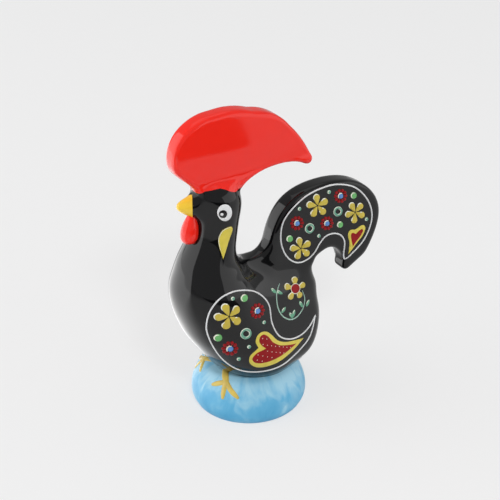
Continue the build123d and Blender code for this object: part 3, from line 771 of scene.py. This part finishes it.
skin_edges = np.vstack([skin_quads[:, [k, (k + 1) % 4]] for k in range(4)])
skin_edges = np.vstack([skin_edges, skin_edges[:, ::-1]])
skin_counts = np.bincount(skin_edges[:, 0], minlength=len(skin_points))
off_body = (sampled(fields["body"], skin_points) - STIFF_FROM) / STIFF_RANGE
softness = 1 - STIFF_SHARE * np.clip(off_body, 0, 1)[:, None]
for _ in range(SKIN_PASSES):
    for pull in SKIN_PULLS:
        skin_points += pull * softness * (neighbour_mean(skin_points, skin_edges, skin_counts) - skin_points)
skin_normals = vertex_normals(skin_points, skin_triangles)
for _ in range(SKIN_PASSES // 2):
    pulled = neighbour_mean(skin_normals, skin_edges, skin_counts) - skin_normals
    skin_normals += NORMAL_PULL * softness * pulled
skin_normals /= np.linalg.norm(skin_normals, axis=1, keepdims=True)


def cut_along(points, normals, triangles, level):
    """The mesh cut where a level is zero: (points, normals, triangles below it, triangles above it)."""
    points, normals = list(points), list(normals)
    above = level > 0
    count = above[triangles].sum(1)
    sides = {False: [triangles[count == 0]], True: [triangles[count == 3]]}
    on_edge = {}

    def crossing(p, q):
        key = (min(p, q), max(p, q))
        if key not in on_edge:
            share = level[p] / (level[p] - level[q])
            on_edge[key] = len(points)
            points.append(points[p] + share * (points[q] - points[p]))
            normals.append(normals[p] + share * (normals[q] - normals[p]))
        return on_edge[key]

    for triangle in triangles[(count == 1) | (count == 2)]:
        flags = above[triangle]
        lone = int(np.flatnonzero(flags == (flags.sum() == 1))[0])
        a, b, c = (int(triangle[(lone + k) % 3]) for k in range(3))
        ab, ac = crossing(a, b), crossing(a, c)
        sides[bool(above[a])].append([[a, ab, ac]])
        sides[bool(above[b])].append([[ab, b, c], [ab, c, ac]])
    return np.array(points), np.array(normals), np.vstack(sides[False]), np.vstack(sides[True])


def skin_piece(name, points, normals, triangles, material):
    """A piece of the skin with only the vertices that it uses."""
    used, index = np.unique(triangles, return_inverse=True)
    return new_object(name, points[used], index.reshape(-1, 3), material, normals[used])


def above_crown_line(points):
    """How far points of the skin lie above the painted edge of the comb on the head."""
    line = np.array(CROWN_LINE)
    return points[:, 2] - SEAT_HEIGHT - np.interp(points[:, 0], line[:, 0], line[:, 1])


def before_beak_root(points):
    """How far points of the skin near the beak lie in front of the painted edge at its root."""
    in_front = BEAK_ROOT_X - BEAK_ROOT_SWEEP * np.abs(points[:, 1]) - points[:, 0]
    return np.minimum(in_front, NEAR - sampled(fields["beak"], points))


def nearer_tail(points):
    """How much nearer points of the skin lie to the tail than to the body, below zero away from it."""
    own = sampled(fields["tail"], points)
    return np.where(own < NEAR, sampled(fields["body"], points) - own, -1.0)


points, normals, rest = skin_points, skin_normals, skin_triangles
skin_parts = {}
for name, level_of in (("comb", above_crown_line), ("beak", before_beak_root), ("tail", nearer_tail)):
    points, normals, rest, skin_parts[name] = cut_along(points, normals, rest, level_of(points))
skin_parts["body"] = rest
for name, slot, material in (
    ("body", "black_glaze", BLACK_GLAZE),
    ("tail", "black_glaze", BLACK_GLAZE),
    ("comb", "red_glaze", RED_GLAZE),
    ("beak", "yellow_glaze", YELLOW_GLAZE),
):
    dress(skin_piece(f"{name}_skin", points, normals, skin_parts[name], material), slot, name)

skin_tree = BVHTree.FromPolygons(skin_points.tolist(), skin_triangles.tolist())

# Enamel drawing: outlines in X and rise above the seat, thrown onto the left side of the skin

view_back = (Vector(CAMERA_PLACE) - Vector(CAMERA_AIM)).normalized()
view_right = Vector((0, 0, 1)).cross(view_back).normalized()
view_up = view_back.cross(view_right)


def on_skin(x, rise):
    """The point of the left side at X and a rise above the seat, and the skin's smooth normal there."""
    hit, _, index, _ = skin_tree.ray_cast(Vector((x, DRAPE_FROM_Y, rise + SEAT_HEIGHT)), Vector((0, 1, 0)))
    if hit is None:
        hit, _, index, _ = skin_tree.find_nearest(Vector((x, MISSED_Y, rise + SEAT_HEIGHT)))
    smooth = Vector(skin_normals[skin_triangles[index]].mean(0)).normalized()
    return hit, smooth


def seen_round(x, rise):
    """The two steps in X and rise that look one millimetre right and one millimetre up in the photograph."""
    _, normal = on_skin(x, rise)
    steps = []
    for across, plain in ((view_right, Vector((1, 0, 0))), (view_up, Vector((0, 0, 1)))):
        seen = across - view_back * (across.dot(normal) / view_back.dot(normal))
        steps.append(seen * ROUND_SHARE + plain * (1 - ROUND_SHARE))
    return np.array([[s.x, s.z] for s in steps])


def smooth_curve(points, steps=10):
    """A smooth open curve that passes through points, with even steps between them."""
    points = np.asarray(points, float)
    before, after = 2 * points[:1] - points[1:2], 2 * points[-1:] - points[-2:-1]
    run = np.vstack([before, points, after])
    curve = []
    for a, b, c, d in zip(run, run[1:], run[2:], run[3:]):
        bend, twist = 2 * a - 5 * b + 4 * c - d, 3 * b - a - 3 * c + d
        for t in np.arange(steps) / steps:
            curve.append(0.5 * (2 * b + (c - a) * t + bend * t**2 + twist * t**3))
    return np.array([*curve, points[-1]])


class Marks:
    """The faces of one enamel colour on the left side, gathered before they become a piece on each side."""

    def __init__(self):
        self.verts, self.faces = [], []

    def lay(self, plan, lifts):
        """Points on the left side of the skin, each raised off it by its lift."""
        laid = []
        for (x, rise), lift in zip(plan, lifts):
            hit, normal = on_skin(x, rise)
            laid.append(hit + normal * lift)
        return laid

    def add(self, verts, faces):
        """Vertices and faces put with those gathered before."""
        start = len(self.verts)
        self.verts.extend(verts)
        self.faces.extend([[start + k for k in face] for face in faces])

    def dab(self, outline, middle, height, base=0.0):
        """A rounded patch of enamel inside a closed outline, highest in the middle."""
        outline, middle = np.asarray(outline, float), np.asarray(middle, float)
        if np.cross(outline[1] - middle, outline[2] - middle) < 0:
            outline = outline[::-1]
        plan, lifts = [middle], [base + height]
        for share in DAB_RINGS:
            plan.extend(middle + (outline - middle) * share)
            rise = EDGE_SINK if share == 1.0 else height * (1 - share**4) ** 0.5
            lifts.extend([base + rise] * len(outline))
        n = len(outline)
        faces = [[0, 1 + k, 1 + (k + 1) % n] for k in range(n)]
        for ring in range(len(DAB_RINGS) - 1):
            a = 1 + ring * n
            faces.extend([[a + k, a + n + k, a + n + (k + 1) % n, a + (k + 1) % n] for k in range(n)])
        self.add(self.lay(plan, lifts), faces)

    def stroke(self, path, half_width, height, closed=False, base=0.0, taper=0.0):
        """A rounded line of enamel along a path, thinner towards its ends where it tapers."""
        path = np.asarray(path, float)
        if closed:
            along = np.roll(path, -1, 0) - np.roll(path, 1, 0)
        else:
            along = np.gradient(path, axis=0)
        along /= np.linalg.norm(along, axis=1, keepdims=True)
        side = np.column_stack([-along[:, 1], along[:, 0]])
        progress = np.linspace(0, 1, len(path))
        width = half_width * (1 - taper * np.abs(2 * progress - 1) ** 3)
        across = np.array(LINE_ACROSS)
        lift = np.where(np.abs(across) == 1, EDGE_SINK, height * np.sqrt(1 - across**2 * LINE_ROUND))
        plan = (path[:, None] + side[:, None] * (width[:, None] * across)[:, :, None]).reshape(-1, 2)
        m = len(across)
        faces = []
        for k in range(len(path) if closed else len(path) - 1):
            a, b = k * m, (k + 1) % len(path) * m
            faces.extend([[a + j, b + j, b + j + 1, a + j + 1] for j in range(m - 1)])
        self.add(self.lay(plan, np.tile(lift, len(path)) + base), faces)

    def one_piece(self, name, side, slot, material, replace=True):
        """The gathered marks as a piece on one side; the right side is the mirror image of the left."""
        node = f"{side}_{name}"
        verts = np.array(self.verts) * dict(SIDES)[side]
        faces = self.faces if side == "left" else [face[::-1] for face in self.faces]
        dress(new_object(f"{node}_enamel", verts, faces, material), slot, *([node] if replace else []))

    def pieces(self, name, slot, material, replace=True):
        """The gathered marks as a piece on each side."""
        for side, _ in SIDES:
            self.one_piece(name, side, slot, material, replace)


def placed(x, rise, flat):
    """Flat points about a place, given as they look in the photograph, as points of the side."""
    return np.array([x, rise]) + np.asarray(flat) @ seen_round(x, rise)


def round_flat(radius, count, start=0.0, sweep=360.0):
    """Points of a circle or of an arc, in degrees."""
    angle = np.radians(start + sweep * np.arange(count) / (count if sweep == 360 else count - 1))
    return np.column_stack([np.cos(angle), np.sin(angle)]) * radius


def turned(flat, turn):
    """Flat points turned by degrees."""
    c, s = cos(radians(turn)), sin(radians(turn))
    return np.asarray(flat) @ np.array([[c, s], [-s, c]])


def petal_flat(length, inner, half_width, widest, count=10):
    """A petal along +X: pointed where it starts, widest at a share of its length, and round at its end."""
    rising = inner + (widest - inner) * np.arange(count) / count
    swell = ((rising - inner) / (widest - inner)) ** PETAL_SWELL
    rise = half_width * (PETAL_START + (1 - PETAL_START) * swell)
    angle = np.linspace(0, pi, 2 * count + 1)
    end = np.column_stack([widest + (1 - widest) * np.sin(angle), -half_width * np.cos(angle)])
    side = np.column_stack([rising, rise])
    return np.vstack([side * (1, -1), end, side[::-1]]) * length


def lit_run(flat, share, clear=0.0):
    """The run of an outline that faces the light, up and to the left in the photograph, drawn in a little,
    where a painted highlight goes.

    It keeps a clear distance from the middle of the flower.
    """
    middle = flat.mean(0)
    out = flat - middle
    facing = out @ np.array(LIGHT_SIDE) / np.linalg.norm(out, axis=1)
    start = int(np.argmax(facing))
    order = np.roll(np.arange(len(flat)), len(flat) // 2 - start)
    run = [k for k in order if facing[k] > LIT_LIMIT and np.linalg.norm(flat[k]) >= clear]
    return middle + out[run] * share


def loop_with_corners(points, corners):
    """A closed curve through points that keeps a corner at the numbered ones."""
    points = [tuple(p) for p in points]
    runs = []
    for start, end in zip(corners, (*corners[1:], corners[0] + len(points))):
        run = [points[k % len(points)] for k in range(start, end + 1)]
        runs.append(smooth_curve(run, steps=8)[:-1])
    return np.vstack(runs)


# Enamel marks of the wing, the tail, the sprig and the face


def draw_petal(marks, x, rise, flat, height=DAB_LIFT):
    """One petal of a flower at a place."""
    marks.dab(placed(x, rise, flat), placed(x, rise, [flat.mean(0)])[0], height)


def flower_petals(radius, petal, count, turn=0):
    """The flat outlines of a flower's petals."""
    return [turned(petal_flat(radius, *petal), turn + 360 / count * k) for k in range(count)]


def light_arc(lights, x, rise, radius, share, count, start, sweep, **line):
    """The pale line painted as a highlight on the lit side of a round mark."""
    lights.stroke(placed(x, rise, round_flat(radius * share, count, start, sweep)), **line)


def inside(point, outline):
    """Whether a point lies inside a closed outline."""
    x, y = point
    crossing = (outline[:, 1] > y) != (np.roll(outline, -1, 0)[:, 1] > y)
    a, b = outline[crossing], np.roll(outline, -1, 0)[crossing]
    at = a[:, 0] + (y - a[:, 1]) / (b[:, 1] - a[:, 1]) * (b[:, 0] - a[:, 0])
    return np.count_nonzero(at > x) % 2 == 1


def draw_border(place, outline):
    """The white line round the wing or the tail, on both sides."""
    path = np.array([on_skin(x, rise)[0] for x, rise in smooth_curve(outline, steps=8)])
    sizes = {"Half width": LINE_HALF_WIDTH * MM}
    for side, mirror in SIDES:
        node = f"{side}_{place}_border"
        line = grown(f"{node}_enamel", ENAMEL_LINE, path * mirror, chain(len(path)), sizes, WHITE_ENAMEL)
        dress(line, "white_enamel", node)


def draw_specks(place, middle, edge, step):
    """Specks in slanting rows about the middle of a heart, inside an edge, on both sides."""
    count = range(-SPECK_ROWS, SPECK_ROWS + 1)
    rows = [(column + row % 2 / 2, row * SPECK_ROW_SHARE) for row in count for column in count]
    specks = middle + turned(rows, SPECK_SLANT) * step
    laid = [on_skin(*speck) for speck in specks if inside(speck, edge)]
    spots = np.array([hit + normal * (HEART_LIFT + SPECK_LIFT) for hit, normal in laid])
    outward = np.array([normal for _, normal in laid])
    sizes = {"Radius": SPECK_RADIUS * MM, "Height": SPECK_HEIGHT * MM}
    for side, mirror in SIDES:
        name = f"{side}_{place}_specks_enamel"
        beads = grown(name, ENAMEL_SPECKS, spots * mirror, [], sizes, CREAM_ENAMEL_AND_PAINTED_HIGHLIGHTS, outward * mirror)
        dress(beads, "white_enamel")


def draw_heart(place, panel):
    """A heart with a rim, its fill laid on it, and specks on the fill where it has them."""
    rim, fill = Marks(), Marks()
    middle = np.array(panel["heart_middle"])
    core = loop_with_corners(panel["heart_core"], panel["core_corners"])
    rim.dab(loop_with_corners(panel["heart"], panel["heart_corners"]), middle, HEART_LIFT)
    fill.dab(core, middle, HEART_FILL_LIFT, base=HEART_LIFT)
    rim.pieces(f"{place}_heart_rim", "gold_enamel", HEART_ENAMEL)
    fill.pieces(f"{place}_heart_fill", "dark_red_enamel", DARK_RED_ENAMEL)
    if panel["speck_step"]:
        draw_specks(place, middle, middle + (core - middle) * SPECK_MARGIN, panel["speck_step"])


def draw_panel(place, panel):
    """All the marks of the wing or of the tail."""
    draw_border(place, panel["border"])
    lights, yellows, reds, blues, mints, greens, pearls = (Marks() for _ in range(7))
    for x, rise, radius, turn in panel["yellow_flowers"]:
        for flat in flower_petals(radius, YELLOW_PETAL, YELLOW_PETALS, turn):
            draw_petal(yellows, x, rise, flat)
            run = lit_run(flat, YELLOW_LIT, YELLOW_CLEAR * radius)
            lights.stroke(placed(x, rise, run), **YELLOW_LIGHT)
    for x, rise, radius in panel["red_flowers"]:
        for flat in flower_petals(radius, RED_PETAL, RED_PETALS):
            draw_petal(reds, x, rise, flat, RED_PETAL_LIFT)
        centre = round_flat(radius * BLUE_CENTRE_SHARE, count=22) + BLUE_CENTRE_SHIFT
        blues.dab(placed(x, rise, centre), (x, rise), BLUE_CENTRE_LIFT)
        light_arc(lights, x, rise, radius, **BLUE_CENTRE_LIGHT)
    for x, rise, radius in panel["mint_rings"]:
        ring = placed(x, rise, round_flat(radius * RING_PATH_SHARE, count=32))
        mints.stroke(ring, radius * RING_HALF_SHARE, closed=True, height=RING_LIFT)
        for light in RING_LIGHTS:
            light_arc(lights, x, rise, radius, **light)
    for x, rise, radius in panel["green_dots"]:
        greens.dab(placed(x, rise, round_flat(radius, count=24)), (x, rise), GREEN_DOT_LIFT)
        light_arc(lights, x, rise, radius, **GREEN_DOT_LIGHT)
    for x, rise, radius in panel["pearls"]:
        pearls.dab(placed(x, rise, round_flat(radius, count=18)), (x, rise), PEARL_LIFT)
        light_arc(lights, x, rise, radius, **PEARL_LIGHT)
    yellows.pieces(f"{place}_yellow_flowers", "gold_enamel", GOLD_ENAMEL)
    reds.pieces(f"{place}_red_flowers", "dark_red_enamel", DARK_RED_ENAMEL)
    blues.pieces(f"{place}_blue_centres", "blue_enamel", BLUE_ENAMEL)
    mints.pieces(f"{place}_mint_rings", "mint_enamel", MINT_ENAMEL)
    greens.pieces(f"{place}_green_dots", "green_enamel", GREEN_ENAMEL)
    pearls.pieces(f"{place}_pearls", "mint_enamel", MINT_ENAMEL)
    draw_heart(place, panel)
    # The pale lines on the lit sides of the petals, centres, rings, dots and pearls are painted highlights
    lights.pieces(f"{place}_lights", "white_enamel", CREAM_ENAMEL_AND_PAINTED_HIGHLIGHTS, replace=False)


def draw_sprig():
    """The sprig between wing and tail, with pale lines painted as highlights on the lit side of its petals and
    leaves.
    """
    petals, centre, vine, leaves, lights = (Marks() for _ in range(5))
    for flat in flower_petals(SPRIG_RADIUS, SPRIG_PETAL, SPRIG_PETALS, SPRIG_TURN):
        draw_petal(petals, *SPRIG_FLOWER, flat)
        lights.stroke(placed(*SPRIG_FLOWER, lit_run(flat, SPRIG_LIT)), **SPRIG_LIGHT)
    for lift in SPRIG_CENTRE_LIFTS:
        centre.dab(placed(*SPRIG_FLOWER, round_flat(SPRIG_CENTRE_RADIUS, count=24)), SPRIG_FLOWER, **lift)
    # The pale ring round the centre is the flower's own outline
    ring = round_flat(SPRIG_CENTRE_RADIUS + SPRIG_RING_OUT, count=30)
    lights.stroke(placed(*SPRIG_FLOWER, ring), **SPRIG_RING_LIGHT)
    vine.stroke(smooth_curve(SPRIG_VINE), **VINE_LINE)
    angle = np.arange(LEAF_STEPS) / LEAF_STEPS * 2 * pi
    width = LEAF_WIDTH_SHARE * np.sin(angle) * np.abs(np.sin(angle)) ** 0.5
    leaf = np.column_stack([np.cos(angle), width]) * LEAF_LENGTH / 2
    for x, rise, slope in SPRIG_LEAVES:
        flat = turned(leaf, slope)
        leaves.dab(placed(x, rise, flat), (x, rise), LEAF_LIFT)
        lights.stroke(placed(x, rise, lit_run(flat, LEAF_LIT)), **LEAF_LIGHT)
    petals.pieces("sprig_petals", "gold_enamel", GOLD_ENAMEL)
    centre.pieces("sprig_centre", "dark_red_enamel", DARK_RED_ENAMEL)
    vine.pieces("sprig_vine", "mint_enamel", PALE_MINT_ENAMEL)
    leaves.pieces("sprig_leaves", "mint_enamel", LEAF_ENAMEL)
    lights.pieces("sprig_lights", "white_enamel", CREAM_ENAMEL_AND_PAINTED_HIGHLIGHTS, replace=False)


def draw_face():
    """The eyes and the feathers on the cheeks."""
    white, pupil, glint, feather, lights = (Marks() for _ in range(5))
    white.dab(placed(*EYE, round_flat(1.0, count=40) * EYE_HALF), EYE, EYE_LIFT)
    pupil.dab(placed(*PUPIL, round_flat(PUPIL_RADIUS, count=28)), PUPIL, **PUPIL_LIFT)
    glint.dab(placed(*GLINT, round_flat(GLINT_RADIUS, count=16)), GLINT, **GLINT_LIFT)
    edge = loop_with_corners(FEATHER, (0,))
    feather.dab(edge, FEATHER_MIDDLE, FEATHER_LIFT)
    # The pale line along the feather's lit edge is a painted highlight
    lit_edge = np.array(FEATHER_MIDDLE) + (edge[FEATHER_LIT_RUN] - FEATHER_MIDDLE) * FEATHER_LIT
    lights.stroke(lit_edge, **FEATHER_LIGHT)
    white.pieces("eye_white", "white_enamel", WHITE_ENAMEL)
    pupil.pieces("pupil", "black_enamel", BLACK_ENAMEL)
    glint.pieces("glint", "white_enamel", WHITE_ENAMEL)
    feather.pieces("cheek_feather", "gold_enamel", HEART_ENAMEL)
    lights.pieces("cheek_feather_lights", "white_enamel", CREAM_ENAMEL_AND_PAINTED_HIGHLIGHTS, replace=False)


draw_panel("wing", WING)
draw_panel("tail", TAIL)
draw_sprig()
draw_face()

# Bell and wattle, turned from their profiles


def turned_piece(name, run, material, closed=False, place=0.0, lean=0.0):
    """A profile turned round the upright axis, at a place along X, and leaned from its foot."""
    sizes = {"Steps": TURNING_STEPS, "Ring radius": TURNING_RADIUS * MM, "Place": place * MM, "Lean": lean * MM}
    sizes.update({"Foot": run[:, 1].min() * MM, "Top": run[:, 1].max() * MM})
    profile = np.column_stack([run, np.zeros(len(run))])
    return grown(name, TURNED_CLAY, profile, chain(len(run), closed), sizes, material)


bell_outside = np.vstack([smooth_curve(BELL_PROFILE, steps=8), [(BELL_VENT_RADIUS, SEAT_HEIGHT)]])
bell_inside = np.vstack([[(BELL_VENT_RADIUS, BELL_INSIDE[0][1])], smooth_curve(BELL_INSIDE, steps=6)])
bell = turned_piece("bell_glaze", np.vstack([bell_outside, bell_inside]), BLUE_GLAZE, closed=True)
dress(bell, "blue_glaze", "base_bell")

wattle_run = np.vstack([smooth_curve(WATTLE_PROFILE, steps=6), [(0.0, WATTLE_PROFILE[-1][1])]])
wattle_run = wattle_run + (0, SEAT_HEIGHT)
wattle = turned_piece("wattle_glaze", wattle_run, RED_GLAZE, place=WATTLE_X, lean=WATTLE_LEAN)
dress(wattle, "red_glaze", "wattle")

# Legs, laid on the shoulder of the bell


def shoulder_tree():
    """The outside of the bell, to throw the legs onto."""
    n = SHOULDER_STEPS
    turns = [2 * pi * k / n for k in range(n)]
    points = [(r * cos(turn), r * sin(turn), z) for r, z in bell_outside for turn in turns]
    quads = [
        [a + k, a + (k + 1) % n, a + n + (k + 1) % n, a + n + k]
        for a in range(0, (len(bell_outside) - 1) * n, n)
        for k in range(n)
    ]
    return BVHTree.FromPolygons(points, quads)


bell_tree = shoulder_tree()


class LegMarks(Marks):
    """Marks drawn about an ankle, and thrown onto the shoulder of the bell on its left."""

    def __init__(self, turn):
        super().__init__()
        out = Vector((-cos(radians(turn)), -sin(radians(turn)), 0))
        self.facing = (out * cos(radians(LEG_LEAN)) + Vector((0, 0, sin(radians(LEG_LEAN))))).normalized()
        self.across = Vector((-out.y, out.x, 0))
        self.upward = self.facing.cross(self.across)
        self.ankle = out * ANKLE_RADIUS + Vector((0, 0, ANKLE_HEIGHT))

    def lay(self, plan, lifts):
        """Points on the shoulder, each raised off it by its lift."""
        laid = []
        for (x, y), lift in zip(plan, lifts):
            start = self.ankle + self.across * x + self.upward * y + self.facing * LEG_DROP
            hit, normal, _, _ = bell_tree.ray_cast(start, -self.facing)
            if hit is None:
                hit, normal, _, _ = bell_tree.find_nearest(start - self.facing * LEG_DROP)
            laid.append(hit + normal * lift)
        return laid


for side, turn in LEG_TURNS:
    leg = LegMarks(turn)
    leg.stroke(smooth_curve(SHANK, steps=6), **SHANK_LINE)
    for toe in TOES:
        leg.stroke(smooth_curve(toe, steps=8), **TOE_LINE)
        leg.dab(np.array(toe[-1]) + round_flat(TOE_TIP_RADIUS, count=16), toe[-1], TOE_TIP_LIFT)
    leg.one_piece("leg", side, "yellow_glaze", LEG_GLAZE)

# Studio: a pale table, cards that only the glaze sees as painted reflections, soft lamps, and the photograph's
# camera


def stage_card(name, corners, material, only_for_glaze=True):
    """A flat card from its corners in millimetres, set up in the studio."""
    card = new_object(name, corners, [list(range(len(corners)))], material)
    if only_for_glaze:
        card.visible_camera = card.visible_diffuse = card.visible_shadow = False


def softbox(name, place, aim, width, height, radiance):
    """A rectangular lamp at a place in millimetres, turned to a point, of an even brightness."""
    lamp = bpy.data.lights.new(name, "AREA")
    lamp.shape = "RECTANGLE"
    lamp.size, lamp.size_y = width * MM, height * MM
    lamp.energy = radiance * pi * lamp.size * lamp.size_y
    holder = bpy.data.objects.new(name, lamp)
    holder.location = Vector(place) * MM
    holder.rotation_mode = "QUATERNION"
    holder.rotation_quaternion = (Vector(aim) - Vector(place)).to_track_quat("-Z", "Y")
    bpy.context.scene.collection.objects.link(holder)
    return holder


def table_material():
    """A white table that the camera sees partly lit and partly plain white, so that its shadow stays soft."""
    material = glaze_material("pale_table", (0.80, 0.80, 0.80), 0.6, tone=0.01, bump=0.0)
    tree = material.node_tree
    shader = tree.nodes["Principled BSDF"]
    shader.inputs["Specular IOR Level"].default_value = 0.0
    path = add_node(tree, "ShaderNodeLightPath")
    share = add_node(tree, "ShaderNodeMath", {1: TABLE_WHITE_SHARE}, operation="MULTIPLY")
    white = add_node(tree, "ShaderNodeEmission", {"Color": TABLE_WHITE})
    mix = add_node(tree, "ShaderNodeMixShader")
    join(
        tree,
        (path, "Is Camera Ray", share, 0),
        (share, "Value", mix, "Fac"),
        (shader, "BSDF", mix, 1),
        (white, "Emission", mix, 2),
        (mix, "Shader", tree.nodes["Material Output"], "Surface"),
    )
    return material


def white_card_material():
    """A card that glows though it is no lamp, a painted bright reflection for the glaze, and fades out towards
    its edge by the bird.
    """
    material = bpy.data.materials.new("white_card")
    material.use_nodes = True
    tree = material.node_tree
    shader = tree.nodes["Principled BSDF"]
    shader.inputs["Emission Color"].default_value = (1, 1, 1, 1)
    place = add_node(tree, "ShaderNodeTexCoord")
    parts = add_node(tree, "ShaderNodeSeparateXYZ")
    inward = add_node(tree, "ShaderNodeMath", {1: -CARD_SLOPE}, operation="MULTIPLY_ADD")
    fading = {"From Min": CARD_FADE[0] * MM, "From Max": CARD_FADE[1] * MM, "To Max": CARD_BRIGHTNESS}
    glow = add_node(tree, "ShaderNodeMapRange", fading, interpolation_type="SMOOTHSTEP")
    join(
        tree,
        (place, "Object", parts, "Vector"),
        (parts, "X", inward, 0),
        (parts, "Y", inward, 2),
        (inward, "Value", glow, "Value"),
        (glow, "Result", shader, "Emission Strength"),
    )
    return material


table_corners = [(x * TABLE_HALF, y * TABLE_HALF, 0) for x, y in ((-1, -1), (1, -1), (1, 1), (-1, 1))]
stage_card("pale_floor", table_corners, table_material(), only_for_glaze=False)

# A dark mat and a glowing white card, seen only in the glaze: painted reflections, dark in the comb's face and
# bright down the breast
mat_away = Vector((-view_back.x, view_back.y, 0)).normalized()
mat_right = Vector((-mat_away.y, mat_away.x, 0))
mat_plan = ((MAT_NEAR, MAT_LEFT), (MAT_FAR, MAT_LEFT), (MAT_FAR, MAT_RIGHT_FAR), (MAT_NEAR, MAT_RIGHT_NEAR))
mat_corners = [mat_away * away + mat_right * right + Vector((0, 0, CARD_HEIGHT)) for away, right in mat_plan]
mat_material = glaze_material("dark_cloth", (0.02, 0.02, 0.02), 0.9, bump=0.0)
stage_card("dark_mat", [tuple(corner) for corner in mat_corners], mat_material)
stage_card("white_card", [(x, y, CARD_HEIGHT) for x, y in CARD_CORNERS][::-1], white_card_material())

softbox("left_window", **LEFT_WINDOW)
softbox("right_wall", **RIGHT_WALL)
softbox("top_softbox", **TOP_SOFTBOX)
softbox("front_lamp", **FRONT_LAMP).visible_glossy = False

# Air: an even light on the object, and a paler tone where the camera sees it
world = bpy.data.worlds.new("studio_air")
world.use_nodes = True
air = world.node_tree
background = air.nodes["Background"]
background.inputs["Color"].default_value = (1, 1, 1, 1)
air_path = add_node(air, "ShaderNodeLightPath")
air_strength = add_node(air, "ShaderNodeMapRange", {"To Min": AIR_LIGHT, "To Max": AIR_SEEN})
join(air, (air_path, "Is Camera Ray", air_strength, "Value"), (air_strength, "Result", background, "Strength"))
bpy.context.scene.world = world

lens = bpy.data.cameras.new("photo_camera")
lens.lens = CAMERA_LENS
lens.sensor_width = CAMERA_SENSOR
camera = bpy.data.objects.new("photo_camera", lens)
camera.location = Vector(CAMERA_PLACE) * MM
camera.rotation_mode = "QUATERNION"
camera.rotation_quaternion = (-view_back).to_track_quat("-Z", "Y")
bpy.context.scene.collection.objects.link(camera)
bpy.context.scene.camera = camera
bpy.context.scene.view_settings.view_transform = "Standard"
